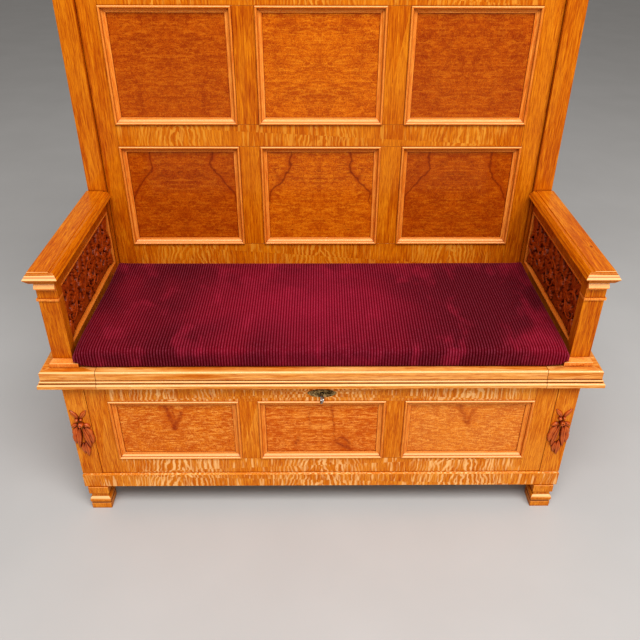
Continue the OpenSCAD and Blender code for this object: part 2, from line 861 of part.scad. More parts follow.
module arm_beads() {
    w = arm_open[0][1] - arm_open[0][0];
    h = arm_open[1][1] - arm_open[1][0];
    color(oak_light) pair() translate([arm_panel_x, (arm_open[0][0] + arm_open[0][1]) / 2,
        (arm_open[1][0] + arm_open[1][1]) / 2]) rotate([90, 0, -90])
        mitred_frame(w, h, arm_bead_w + 1, arm_panel_x - arm_frame_x0 + 2);
}

// ---------------------------------------------------------------- back

module back_posts() {
    color(oak) difference() {
        pair() block(back_in, back_in + back_post_w, back_post_y, rear_y, seat_h, post_top);
        dowel_cut();
    }
}

module back_slots() {
    for (z = row_z) panel_slots(back_open, z, z + panel_h, back_frame_y + recess);
}

module back_stiles() {
    y1 = back_frame_y + back_frame_t;
    color(oak) difference() {
        union() {
            pair() block(back_in - back_stile_w, back_in - skin, back_frame_y, y1, seat_h,
                post_top);
            for (z = row_z) pair() block(back_mid_half, back_mid_half + back_muntin_w,
                back_frame_y, y1, z + skin, z + panel_h - skin);
        }
        back_slots();
    }
}

module back_rails() {
    x = back_in - back_stile_w - skin;
    y1 = back_frame_y + back_frame_t;
    color(oak_light) difference() {
        union() {
            block(-x, x, back_frame_y, y1, seat_h, row_z[0]);
            for (i = [0:1]) block(-x, x, back_frame_y, y1, row_z[i] + panel_h, row_z[i + 1]);
        }
        back_slots();
    }
}

module hook_rail() {
    x = back_in - back_stile_w - skin;
    color(oak_light) difference() {
        block(-x, x, back_frame_y, back_frame_y + back_frame_t, hook_rail_z0, post_top);
        back_slots();
        hook_screw_bodies(2.02, 15);
    }
}

module back_panels() {
    y0 = back_frame_y + recess;
    color(burl) for (z = row_z, o = back_open)
        block(o[0] - 6, o[1] + 6, y0, y0 + panel_t, z - 6, z + panel_h + 6);
}

module back_mouldings() {
    color(oak_light) for (z = row_z)
        mouldings(back_open, z, z + panel_h, back_frame_y, back_proud);
}

// ---------------------------------------------------------------- cornice

// Projection of the cornice beyond the posts against height above the post tops
function cornice_edge() = let (out = cornice_out, h = cornice_h) concat(
    [[6, 0], [6, 6]],
    arc(6, 11, 5, 5, -90, 90, 8),
    [[7, 18]],
    arc(out - 12, 18, out - 19, h - 54, 180, 90, 8),
    [[out - 10, h - 36], [out - 10, h - 30]],
    arc(out - 10, h - 20, 8, 10, -90, 0, 6),
    [[out - 2, h - cornice_top_t]]);

// The moulded outline run along the front and both sides, in full
module cornice_run() {
    edge = cornice_edge();
    half = back_in + back_post_w;
    intersection() {
        run_x(-half - cornice_out, half + cornice_out) polygon(concat(
            [for (p = edge) [back_post_y - p[0], post_top + p[1]]],
            [[rear_y, cornice_z1 - cornice_top_t], [rear_y, post_top]]));
        run_y(back_post_y - cornice_out - 1, rear_y) polygon(concat(
            [for (p = edge) [half + p[0], post_top + p[1]]],
            [for (i = [len(edge) - 1:-1:0]) [-half - edge[i][0], post_top + edge[i][1]]]));
    }
}

// Three strips, mitred at the front corners
module cornice_mouldings() {
    x1 = back_in + back_post_w + cornice_out;
    x0 = x1 - cornice_out - 18;
    y0 = back_post_y - cornice_out;
    y1 = back_post_y + 18;
    color(oak) {
        intersection() {
            cornice_run();
            linear_extrude(cornice_z1) polygon([[-x1, y0], [x1, y0], [x0, y1], [-x0, y1]]);
        }
        pair() intersection() {
            cornice_run();
            linear_extrude(cornice_z1) polygon([[x1, y0 + skin], [x1, rear_y], [x0, rear_y],
                [x0, y1 + skin]]);
        }
    }
}

module cornice_top() {
    x = back_in + back_post_w + cornice_out;
    color(oak) block(-x, x, back_post_y - cornice_out, rear_y,
        cornice_z1 - cornice_top_t, cornice_z1);
}

// ---------------------------------------------------------------- hooks

// One forged arm, thinner towards its ball: out from the plate by run, round a bend of
// radius r and up by rise
module hook_arm(run, r, rise, wire, ball) {
    rotate([90, 0, 0]) cylinder(r = wire + 0.6, h = run + 1);
    translate([0, -run, r]) rotate([0, 90, 180]) rotate_extrude(angle = 90)
        translate([r, 0]) circle(r = wire);
    translate([0, -run - r, r - 1]) cylinder(r = wire - 0.4, h = rise + 1);
    translate([0, -run - r, r + rise]) sphere(r = ball);
}

module hook_plate() {
    half_h = 46;
    half_w = 15;
    run_y(-4, 0) polygon(concat(arc(0, half_h - half_w, half_w, half_w, 0, 180, 12),
        arc(0, -half_h + half_w, half_w, half_w, 180, 360, 12)));
}

module coat_hooks() {
    color(brass) for (x = hook_xs) translate([x, back_frame_y, hook_z]) difference() {
        union() {
            hook_plate();
            translate([0, -2, 14]) hook_arm(16, 30, 10, 5, 9);
            translate([0, -2, -18]) hook_arm(8, 18, 3, 4.5, 7);
        }
        for (s = [-1, 1]) translate([0, 1, s * hook_screw_dz]) rotate([90, 0, 0])
            cylinder(r = 2.02, h = 8);
    }
}

module hook_screw_bodies(r, l) {
    for (x = hook_xs, s = [-1, 1]) translate([x, back_frame_y - 4, hook_z + s * hook_screw_dz])
        rotate([-90, 0, 0]) cylinder(r = r, h = l + 4);
}

module hook_screws() {
    color(brass) {
        hook_screw_bodies(2, 14);
        for (x = hook_xs, s = [-1, 1])
            translate([x, back_frame_y - 4, hook_z + s * hook_screw_dz]) intersection() {
                translate([0, 2, 0]) sphere(r = 4.4);
                block(-6, 6, -6, 0, -6, 6);
            }
    }
}

// ---------------------------------------------------------------- cushion

module seat_cushion() {
    x = cushion_w / 2 - cushion_r;
    color(velvet) translate([0, 0, cushion_z0]) linear_extrude(cushion_t) polygon(concat(
        arc(x, cushion_y1 - cushion_r, cushion_r, cushion_r, 0, 90, 6),
        arc(-x, cushion_y1 - cushion_r, cushion_r, cushion_r, 90, 180, 6),
        arc(-x, cushion_y0 + cushion_r, cushion_r, cushion_r, 180, 270, 6),
        arc(x, cushion_y0 + cushion_r, cushion_r, cushion_r, 270, 360, 6)));
}

front_feet();
rear_feet();
plinth_front();
plinth_sides();
plinth_rear();
plinth_blocks();
bottom_bearers();
chest_bottom();
front_pilaster_left();
front_pilaster_right();
leaf_drop_left();
leaf_drop_right();
front_rails();
front_stiles();
front_panels();
front_mouldings();
side_rails();
side_muntins();
side_panels();
side_mouldings();
rear_corner_posts();
rear_rail();
chest_back();
seat_bearers();
seat_end_left();
seat_end_right();
seat_rear_strip();
lid_board();
lid_front_moulding();
lid_battens();
hinge_fixed_leaves();
hinge_lid_leaves();
hinge_pins();
hinge_strip_screws();
hinge_lid_screws();
lock_case();
lock_bolt();
strike_plate();
escutcheon();
key();
post_dowels();
arm_posts();
arm_capitals();
arm_base_mouldings();
arm_rests();
arm_frames();
arm_panels();
arm_carvings();
arm_beads();
back_posts();
back_stiles();
back_rails();
hook_rail();
back_panels();
back_mouldings();
cornice_mouldings();
cornice_top();
coat_hooks();
hook_screws();
seat_cushion();
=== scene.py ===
import math
import random

import bpy
import numpy as np
from mathutils import Matrix, Vector


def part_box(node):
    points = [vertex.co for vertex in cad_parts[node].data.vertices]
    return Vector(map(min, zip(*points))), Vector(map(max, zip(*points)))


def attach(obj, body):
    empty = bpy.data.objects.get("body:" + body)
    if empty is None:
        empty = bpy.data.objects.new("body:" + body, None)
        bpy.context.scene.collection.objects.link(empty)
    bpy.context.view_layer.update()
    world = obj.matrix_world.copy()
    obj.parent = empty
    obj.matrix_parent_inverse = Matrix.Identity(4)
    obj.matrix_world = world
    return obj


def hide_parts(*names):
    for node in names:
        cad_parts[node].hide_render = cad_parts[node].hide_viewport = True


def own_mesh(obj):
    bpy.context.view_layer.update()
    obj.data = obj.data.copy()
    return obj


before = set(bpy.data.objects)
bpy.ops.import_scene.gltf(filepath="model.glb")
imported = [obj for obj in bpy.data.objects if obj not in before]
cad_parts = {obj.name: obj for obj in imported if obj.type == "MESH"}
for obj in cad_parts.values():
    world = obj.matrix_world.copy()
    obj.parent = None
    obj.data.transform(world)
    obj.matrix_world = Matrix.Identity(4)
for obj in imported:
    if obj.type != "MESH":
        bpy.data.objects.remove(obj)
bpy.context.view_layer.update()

scene = bpy.context.scene


# ---------------- node shorthand

class Finish:
    """One Principled material, with short calls that add nodes to it."""

    def __init__(self, name, settings):
        self.material = bpy.data.materials.new(name)
        self.material.use_nodes = True
        self.nodes = self.material.node_tree.nodes
        self.links = self.material.node_tree.links
        self.surface = next(n for n in self.nodes if n.type == "BSDF_PRINCIPLED")
        for socket, value in settings.items():
            self.surface.inputs[socket].default_value = value
        self.at = self.add("ShaderNodeTexCoord", {}, "Object")

    def add(self, kind, inputs, output=0, **settings):
        node = self.nodes.new(kind)
        for key, value in settings.items():
            setattr(node, key, value)
        for key, value in inputs.items():
            if isinstance(value, bpy.types.NodeSocket):
                self.links.new(value, node.inputs[key])
            else:
                node.inputs[key].default_value = value
        return node.outputs[output]

    def math(self, operation, a, b=0.0, c=0.0):
        return self.add("ShaderNodeMath", {0: a, 1: b, 2: c}, operation=operation)

    def times(self, *factors):
        product = factors[0]
        for factor in factors[1:]:
            product = self.math("MULTIPLY", product, factor)
        return product

    def gap(self, a, b):
        return self.math("ABSOLUTE", self.math("SUBTRACT", a, b))

    def vector(self, operation, a, b=(0, 0, 0)):
        return self.add("ShaderNodeVectorMath", {0: a, 1: b}, operation=operation)

    def split(self, vector):
        node = self.nodes.new("ShaderNodeSeparateXYZ")
        self.links.new(vector, node.inputs[0])
        return node.outputs[0], node.outputs[1], node.outputs[2]

    def join(self, x, y, z):
        return self.add("ShaderNodeCombineXYZ", {0: x, 1: y, 2: z})

    def noise(self, vector, scale, detail=2.0, roughness=0.5, distortion=0.0):
        return self.add("ShaderNodeTexNoise", {"Vector": vector, "Scale": scale, "Detail": detail,
                                               "Roughness": roughness, "Distortion": distortion})

    def ramp(self, value, low, high, start=0.0, end=1.0):
        return self.add("ShaderNodeMapRange", {"Value": value, "From Min": low, "From Max": high,
                                               "To Min": start, "To Max": end},
                        interpolation_type="SMOOTHSTEP")

    def mix(self, factor, a, b, blend="MIX"):
        return self.add("ShaderNodeMix", {0: factor, 6: a, 7: b}, 2, data_type="RGBA",
                        blend_type=blend)

    def blob(self, vector, centre, size):
        """1 at the centre, falling to 0 at an ellipsoid's surface."""
        away = self.vector("DIVIDE", self.vector("SUBTRACT", vector, centre), size)
        distance = self.add("ShaderNodeVectorMath", {0: away}, "Value", operation="LENGTH")
        return self.ramp(distance, 0.0, 1.0, 1.0, 0.0)

    def near_line(self, vector, start, end, width):
        """1 on a line from start to end, falling to 0 at a distance of width."""
        run = Vector(end) - Vector(start)
        from_start = self.vector("SUBTRACT", vector, start)
        share = self.add("ShaderNodeVectorMath", {0: from_start, 1: run / run.length_squared}, "Value",
                         operation="DOT_PRODUCT")
        share = self.add("ShaderNodeClamp", {"Value": share})
        foot = self.add("ShaderNodeVectorMath", {0: run, "Scale": share}, operation="SCALE")
        gap = self.vector("SUBTRACT", from_start, foot)
        distance = self.add("ShaderNodeVectorMath", {0: gap}, "Value", operation="LENGTH")
        return self.ramp(distance, 0.0, width, 1.0, 0.0)

    def warped(self, vector, scale, amount):
        """The coordinates, shaken by noise, so that straight lines wander."""
        shake = self.add("ShaderNodeTexNoise", {"Vector": vector, "Scale": scale, "Detail": 4.0,
                                                "Roughness": 0.6}, "Color")
        shake = self.vector("SUBTRACT", shake, (0.5, 0.5, 0.5))
        shake = self.add("ShaderNodeVectorMath", {0: shake, "Scale": amount}, operation="SCALE")
        return self.vector("ADD", vector, shake)

    def board_shift(self):
        """The coordinates, moved a different way on each separate board."""
        island = self.add("ShaderNodeNewGeometry", {}, "Random Per Island")
        shift = self.add("ShaderNodeVectorMath", {0: (17.3, 31.9, 23.1), "Scale": island},
                         operation="SCALE")
        return self.vector("ADD", self.at, shift), island

    def paint(self, colour):
        self.links.new(colour, self.surface.inputs["Base Color"])

    def bump(self, height, distance, strength=1.0):
        normal = self.add("ShaderNodeBump", {"Height": height, "Distance": distance,
                                             "Strength": strength}, "Normal")
        self.links.new(normal, self.surface.inputs["Normal"])

    def painted_shade(self, colour, depth=0.75):
        """Painted shade: darkens hollows, and more finely the joints, the less open they are to the sky."""
        open_sky = self.add("ShaderNodeAmbientOcclusion", {"Distance": 0.012}, "AO", samples=6)
        colour = self.mix(self.ramp(open_sky, 0.25, 0.85, depth, 0.0), colour, SHADOW_TINT, "MULTIPLY")
        joint_sky = self.add("ShaderNodeAmbientOcclusion", {"Distance": 0.0035}, "AO", samples=4)
        return self.mix(self.ramp(joint_sky, 0.35, 0.75, 0.85, 0.0), colour, SHADOW_TINT, "MULTIPLY")

    def painted_highlight(self, colour, amount):
        """Painted highlight: a paler tint on front edges that slope upwards, in place of the light they
        catch.
        """
        _, ahead, up = self.split(self.add("ShaderNodeTexCoord", {}, "Normal"))
        slope = self.times(self.ramp(up, 0.10, 0.45), self.ramp(ahead, -0.10, -0.40))
        return self.mix(self.times(slope, amount), colour, HIGHLIGHT_TINT)


def rgb(r, g, b):
    return (r, g, b, 1.0)


VARNISH = {"Roughness": 0.36, "Specular IOR Level": 0.07, "Coat Weight": 0.17, "Coat Roughness": 0.12}
SHADOW_TINT = rgb(0.30, 0.11, 0.04)
HIGHLIGHT_TINT = rgb(0.90, 0.53, 0.25)
SHADE_LINE = rgb(0.30, 0.060, 0.004)
FRONT_BAY = 0.358    # spacing of the panels' middles
BACK_BAY = 0.376
QUIRK_DEPTH = 0.0046  # of the step in a panel moulding, below its highest line


# ---------------- wood

def along(finish, vector, axis):
    """The coordinates turned so that the grain, which runs along axis, lies along Z."""
    x, y, z = finish.split(vector)
    return finish.join(*{"X": (y, z, x), "Y": (z, x, y), "Z": (x, y, z)}[axis])


def grain(finish, vector, dark, middle, light, line_scale):
    """Growth lines, pores and slow drift of tone in straight-grained wood. Returns colour, pores."""
    lines = finish.noise(finish.vector("MULTIPLY", vector, (1, 1, 0.05)), line_scale, 3, 0.68, 0.3)
    pores = finish.noise(finish.vector("MULTIPLY", vector, (1, 1, 0.03)), 1100, 2, 0.6)
    drift = finish.noise(finish.vector("MULTIPLY", vector, (1, 1, 0.3)), 11, 2)
    colour = finish.mix(finish.ramp(lines, 0.40, 0.58), dark, middle)
    colour = finish.mix(finish.times(finish.ramp(drift, 0.38, 0.70), 0.5), colour, light)
    colour = finish.mix(finish.ramp(lines, 0.56, 0.70, 0.0, 0.75), colour, light)
    colour = finish.mix(finish.ramp(pores, 0.36, 0.52, 0.62, 0.0), colour, dark, "MULTIPLY")
    return colour, pores


def quirk_shade(node):
    """Painted shade: a dark line in the step between the bead and the hollow of a panel moulding."""
    low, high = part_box(node)

    def line(finish, colour):
        x, y, z = finish.split(finish.at)
        inward = finish.math("SUBTRACT", y, low.y)
        if node.startswith("side"):
            inward = finish.math("SUBTRACT", high.x, finish.math("ABSOLUTE", x))
        from_step = finish.gap(inward, QUIRK_DEPTH)
        return finish.mix(finish.ramp(from_step, 0.0006, 0.0018, 0.85, 0.0), colour, SHADE_LINE)
    return line


def arm_rest_shade_and_knot(finish, colour):
    """A dark line of painted shade along the moulded edge, and a small knot on top of the right-hand rest.
    """
    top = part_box("arm_rests")[1].z
    x, y, z = finish.split(finish.at)
    from_line = finish.gap(z, top - 0.0105)
    colour = finish.mix(finish.ramp(from_line, 0.0005, 0.0015, 0.75, 0.0), colour, SHADE_LINE)
    knot = finish.blob(finish.at, (0.625, -0.106, top), (0.006, 0.010, 0.004))
    return finish.mix(finish.times(knot, 0.9), colour, rgb(0.16, 0.020, 0.001))


def oak(name, axis, dark, middle, light, line_scale=250, settings=VARNISH, pale_and_lit=0.0, extra=None):
    finish = Finish(name, settings)
    vector, island = finish.board_shift()
    colour, pores = grain(finish, along(finish, vector, axis), dark, middle, light, line_scale)
    tone = finish.ramp(island, 0.0, 1.0, 0.0, 0.22)
    colour = finish.mix(tone, colour, rgb(0.82, 0.72, 0.55), "MULTIPLY")
    # painted shade in hollows and joints
    colour = finish.painted_shade(colour)
    # painted highlight on front edges that slope upwards
    if pale_and_lit:
        colour = finish.painted_highlight(colour, pale_and_lit)
    if extra:
        colour = extra(finish, colour)
    finish.paint(colour)
    finish.bump(pores, 0.00025, 0.6)
    return finish.material


def flame_oak(name, bay, dark, middle, light, ray_tone):
    """Rail veneer: pale rays that fan out from the middle of each bay and fade towards its ends."""
    finish = Finish(name, VARNISH)
    vector, island = finish.board_shift()
    colour, pores = grain(finish, vector, dark, middle, light, 330)
    x, y, z = finish.split(finish.at)
    from_middle = finish.add("ShaderNodeMath", {0: x, 1: bay / 2, 2: -bay / 2}, operation="WRAP")
    away = finish.math("ABSOLUTE", from_middle)
    drift = finish.noise(finish.vector("MULTIPLY", vector, (1, 1, 0.8)), 22, 3, 0.55)
    crowding = finish.math("MULTIPLY_ADD", away, 300.0, 52.0)
    lean = finish.math("MULTIPLY_ADD", z, 14.0, finish.times(drift, 3.4))
    phase = finish.math("MULTIPLY_ADD", away, crowding, lean)
    wave = finish.math("SINE", finish.times(phase, 2 * math.pi))
    rays = finish.ramp(wave, 0.0, 0.80)
    patch = finish.noise(finish.vector("MULTIPLY", vector, (1, 1, 0.35)), 34, 2, 0.5)
    gather = finish.times(finish.ramp(away, 0.165, 0.020), finish.ramp(patch, 0.34, 0.54))
    colour = finish.mix(finish.times(rays, gather, 0.66), colour, ray_tone)
    trough = finish.times(finish.ramp(wave, -0.35, -0.9), gather)
    colour = finish.mix(finish.times(trough, 0.50), colour, dark)
    thin = finish.noise(finish.vector("MULTIPLY", vector, (1, 1, 0.10)), 130, 2, 0.5)
    colour = finish.mix(finish.ramp(thin, 0.55, 0.66, 0.0, 0.55), colour, ray_tone)
    # painted shade in hollows and joints
    finish.paint(finish.painted_shade(colour))
    finish.bump(pores, 0.00025, 0.6)
    return finish.material


def burl(finish, vector, tones, ripple_scale, ripple_depth, speckle):
    """Figured veneer: sideways ripple, clouds of tone and fine speckle."""
    dark, middle, light = tones
    ripple = finish.noise(finish.vector("MULTIPLY", vector, (0.16, 1, 1)), ripple_scale, 4, 0.62, 0.8)
    cloud = finish.noise(vector, 22, 4, 0.65, 0.8)
    mottle = finish.noise(vector, 130, 3, 0.7, 0.8)
    fleck = finish.noise(vector, 420, 3, 0.72, 0.6)
    colour = finish.mix(finish.ramp(cloud, 0.36, 0.60, 0.35, 1.0), dark, middle)
    colour = finish.mix(finish.ramp(ripple, 0.51, 0.62, 0.0, ripple_depth), colour, light)
    colour = finish.mix(finish.ramp(ripple, 0.49, 0.39, 0.0, ripple_depth), colour, dark)
    colour = finish.mix(finish.ramp(mottle, 0.52, 0.66, 0.0, 0.42), colour, light)
    colour = finish.mix(finish.ramp(mottle, 0.46, 0.34, 0.0, 0.55), colour, dark)
    colour = finish.mix(finish.ramp(fleck, 0.38, 0.52, speckle, 0.0), colour, dark, "MULTIPLY")
    colour = finish.mix(finish.ramp(fleck, 0.55, 0.68, 0.0, speckle), colour, light)
    return colour, fleck


FRONT_MARKS = [
    # start x, z, end x, z, width, strength
    (-0.382, 0.334, -0.365, 0.264, 0.010, 0.95),
    (-0.344, 0.309, -0.365, 0.264, 0.009, 0.90),
    (-0.379, 0.305, -0.359, 0.282, 0.007, 0.70),
    (-0.368, 0.336, -0.363, 0.297, 0.005, 0.55),
    (0.335, 0.335, 0.361, 0.278, 0.010, 0.60),
    (0.374, 0.319, 0.361, 0.278, 0.008, 0.50),
    (0.024, 0.336, 0.030, 0.271, 0.005, 0.80),
    (0.030, 0.271, 0.033, 0.220, 0.004, 0.70),
    (0.037, 0.213, 0.074, 0.192, 0.011, 1.00),
    (0.052, 0.234, 0.071, 0.209, 0.008, 0.90),
    (0.033, 0.220, 0.052, 0.234, 0.006, 0.70),
    (-0.032, 0.316, -0.029, 0.263, 0.005, 0.40),
    (-0.067, 0.210, -0.057, 0.231, 0.007, 0.65),
]


def front_figure():
    """The three panels of the chest front, each with its own marks."""
    finish = Finish("figured_front", VARNISH)
    x, y, z = finish.split(finish.at)
    folded = finish.math("ABSOLUTE", x)
    side = finish.ramp(x, -0.004, 0.004, 0.0, 0.013)
    middle_bay = finish.math("LESS_THAN", folded, FRONT_BAY / 2)
    u = finish.add("ShaderNodeMix", {0: middle_bay, 2: x, 3: finish.math("ADD", folded, side)})
    vector = finish.join(u, y, z)
    tones = rgb(0.47, 0.082, 0.001), rgb(0.66, 0.182, 0.006), rgb(0.84, 0.36, 0.075)
    colour, fleck = burl(finish, vector, tones, 260, 0.75, 0.50)
    colour = finish.mix(finish.times(middle_bay, 0.4), colour, rgb(1.0, 0.88, 0.85), "MULTIPLY")
    right_bay = finish.math("GREATER_THAN", x, FRONT_BAY / 2)
    colour = finish.mix(finish.times(right_bay, 0.14), colour, rgb(0.86, 0.40, 0.10))
    wide = finish.noise(finish.vector("MULTIPLY", vector, (0.16, 1, 1)), 150, 2, 0.5, 1.2)
    colour = finish.mix(finish.times(finish.ramp(wide, 0.47, 0.40), middle_bay, 0.75), colour, tones[0])
    colour = finish.mix(finish.times(finish.ramp(wide, 0.54, 0.62), middle_bay, 0.30), colour, tones[2])
    flat = finish.join(x, 0.0, z)
    wander = finish.warped(flat, 75, 0.022)
    speckle = finish.ramp(finish.noise(flat, 210, 4, 0.7, 1.0), 0.42, 0.60, 1.0, 0.45)
    for x0, z0, x1, z1, width, strength in FRONT_MARKS:
        line = finish.near_line(wander, (x0, 0, z0), (x1, 0, z1), width)
        haze = finish.near_line(wander, (x0, 0, z0), (x1, 0, z1), width * 2.6)
        colour = finish.mix(finish.times(haze, 0.45 * strength), colour, tones[0])
        colour = finish.mix(finish.times(line, speckle, strength), colour, rgb(0.25, 0.030, 0.002))
    seam = finish.times(finish.ramp(folded, 0.0, 0.0015, 0.6, 0.0), middle_bay)
    colour = finish.mix(seam, colour, tones[0])
    # painted shade in hollows and joints
    finish.paint(finish.painted_shade(colour))
    finish.bump(fleck, 0.0001, 0.4)
    return finish.material


def back_figure():
    """The back panels: book-matched in each bay, with dark veins in the bottom row."""
    finish = Finish("figured_back", VARNISH)
    x, y, z = finish.split(finish.at)
    bay = finish.add("ShaderNodeMath", {0: x, 1: BACK_BAY / 2, 2: -BACK_BAY / 2}, operation="WRAP")
    folded = finish.math("ABSOLUTE", bay)
    number = finish.math("ROUND", finish.math("DIVIDE", x, BACK_BAY))
    shift = finish.times(number, 0.41)
    offset = finish.ramp(bay, -0.003, 0.003, 0.0, 0.011)
    u = finish.math("ADD", folded, offset)
    vector = finish.join(finish.math("ADD", u, shift), y, z)
    tones = rgb(0.35, 0.054, 0.001), rgb(0.55, 0.130, 0.002), rgb(0.74, 0.255, 0.012)
    colour, fleck = burl(finish, vector, tones, 150, 0.45, 0.50)
    # painted shade: the two outer bays, beside the arms, are darker
    outer = finish.math("ABSOLUTE", number)
    colour = finish.mix(finish.times(outer, 0.85), colour, rgb(0.74, 0.60, 0.60), "MULTIPLY")
    sway = finish.noise(finish.join(shift, bay, z), 26, 3, 0.6)
    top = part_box("back_panels")[0].z + 0.298
    fall = finish.math("SUBTRACT", top, z)
    curve = finish.ramp(fall, 0.055, 0.165, 0.082, 0.142)
    curve = finish.math("MULTIPLY_ADD", finish.math("SUBTRACT", sway, 0.5), 0.040, curve)
    distance = finish.gap(folded, curve)
    bottom_row = finish.ramp(fall, -0.004, 0.0, 0.0, 1.0)
    reach = finish.times(finish.ramp(fall, 0.150, 0.190, 1.0, 0.0), bottom_row)
    vein = finish.times(finish.ramp(distance, 0.0, 0.0055, 1.0, 0.0), reach)
    halo = finish.times(finish.ramp(distance, 0.0, 0.022, 1.0, 0.0), reach)
    night = rgb(0.17, 0.020, 0.001)
    colour = finish.mix(finish.times(halo, 0.40), colour, tones[0])
    colour = finish.mix(finish.times(vein, 0.75), colour, night)
    smoke = finish.noise(finish.vector("MULTIPLY", vector, (0.4, 1, 1)), 70, 4, 0.65)
    cloud = finish.times(finish.ramp(smoke, 0.53, 0.68), finish.ramp(fall, 0.03, 0.07, 0.0, 1.0),
                         finish.ramp(fall, 0.12, 0.08, 0.0, 1.0), bottom_row)
    colour = finish.mix(finish.times(cloud, 0.5), colour, night)
    knots = finish.blob(finish.join(folded, 0.0, z), (0.080, 0.0, top - 0.252), (0.006, 1.0, 0.004))
    colour = finish.mix(finish.times(knots, 0.7), colour, night)
    seam = finish.ramp(folded, 0.0, 0.0015, 0.4, 0.0)
    colour = finish.mix(seam, colour, tones[0])
    # painted shade in hollows and joints
    finish.paint(finish.painted_shade(colour, 0.8))
    finish.bump(fleck, 0.0001, 0.4)
    return finish.material


def side_figure():
    finish = Finish("figured_side", VARNISH)
    tones = rgb(0.46, 0.085, 0.002), rgb(0.60, 0.150, 0.004), rgb(0.74, 0.25, 0.020)
    x, y, z = finish.split(finish.at)
    turned = finish.join(y, x, z)
    colour, fleck = burl(finish, turned, tones, 170, 0.55, 0.35)
    # painted shade in hollows and joints
    finish.paint(finish.painted_shade(colour))
    finish.bump(fleck, 0.0001, 0.4)
    return finish.material


def carved(name, deep, base, pale_and_lit, shine):
    """Stained carving, with painted shade, near black, in its hollows and painted light on its open crests.
    """
    finish = Finish(name, {"Roughness": 0.45, "Specular IOR Level": shine, "Coat Weight": shine,
                           "Coat Roughness": 0.25})
    fibre = finish.noise(finish.vector("MULTIPLY", finish.at, (1, 1, 0.12)), 420, 3, 0.6)
    cloud = finish.noise(finish.at, 34, 3, 0.6)
    colour = finish.mix(finish.ramp(cloud, 0.35, 0.65), deep, base)
    colour = finish.mix(finish.ramp(fibre, 0.5, 0.72, 0.0, 0.45), colour, pale_and_lit)
    sky = finish.add("ShaderNodeAmbientOcclusion", {"Distance": 0.014}, "AO", samples=8)
    # painted light: the most open crests go towards the pale tone
    colour = finish.mix(finish.ramp(sky, 0.75, 0.98, 0.0, 0.6), colour, pale_and_lit)
    # painted shade: the hollows go near black
    colour = finish.mix(finish.ramp(sky, 0.15, 0.80, 0.96, 0.0), colour, rgb(0.030, 0.005, 0.001))
    finish.paint(colour)
    finish.bump(fibre, 0.0003, 0.5)
    return finish.material


# ---------------- metal and cloth

def metal(name, base, dull, roughness, pit_scale=240):
    """Old cast or drawn metal, with dull brown patches and darkened hollows."""
    finish = Finish(name, {"Metallic": 1.0, "Roughness": roughness})
    patch = finish.noise(finish.at, 70, 5, 0.62)
    pits = finish.noise(finish.at, pit_scale * 4, 3, 0.6)
    colour = finish.mix(finish.ramp(patch, 0.38, 0.66), dull, base)
    sky = finish.add("ShaderNodeAmbientOcclusion", {"Distance": 0.004}, "AO", samples=6)
    colour = finish.mix(finish.ramp(sky, 0.3, 0.9, 0.9, 0.0), colour, rgb(0.02, 0.014, 0.008))
    finish.paint(colour)
    finish.bump(pits, 0.0002, 0.4)
    return finish.material


def velvet():
    """Crimson corduroy pile, brushed lighter and darker in wide patches."""
    finish = Finish("velvet", {"Roughness": 0.9, "Specular IOR Level": 0.02, "Sheen Weight": 0.12,
                               "Sheen Roughness": 0.4, "Sheen Tint": rgb(1.0, 0.30, 0.42)})
    wide = finish.noise(finish.at, 3.4, 2, 0.5, 0.3)
    brushed = finish.noise(finish.vector("MULTIPLY", finish.at, (1.8, 1.0, 1)), 9, 3, 0.55, 0.3)
    pile = finish.noise(finish.at, 1400, 2, 0.6)
    shade, nap = rgb(0.105, 0.0025, 0.0075), rgb(0.190, 0.0045, 0.0150)
    colour = finish.mix(finish.ramp(wide, 0.40, 0.62), shade, nap)
    colour = finish.mix(finish.ramp(brushed, 0.50, 0.72, 0.0, 0.55), colour, rgb(0.300, 0.0130, 0.0380))
    # the seat is lighter towards its middle
    middle_lift = finish.blob(finish.warped(finish.at, 5, 0.25), (0.0, -0.02, 0.48), (0.42, 0.34, 0.4))
    colour = finish.mix(finish.times(middle_lift, 0.65), colour, rgb(0.330, 0.0110, 0.0420))
    valley = finish.add("ShaderNodeAttribute", {}, "Fac", attribute_name="valley")
    # painted highlight: pale glints along the rib crests
    sparkle = finish.ramp(finish.noise(finish.at, 260, 4, 0.75), 0.40, 0.62, 0.25, 1.0)
    painted_highlight = finish.times(finish.ramp(valley, 0.30, 0.02), sparkle)
    colour = finish.mix(painted_highlight, colour, rgb(0.065, 0.028, 0.042), "ADD")
    # painted shade: the rib valleys go darker
    groove = finish.ramp(valley, 0.10, 0.85, 0.0, 0.80)
    colour = finish.mix(groove, colour, rgb(0.32, 0.05, 0.10), "MULTIPLY")
    colour = finish.mix(finish.ramp(pile, 0.3, 0.6, 0.4, 0.0), colour, rgb(0.35, 0.25, 0.3), "MULTIPLY")
    finish.paint(colour)
    finish.bump(pile, 0.0004, 0.5)
    return finish.material


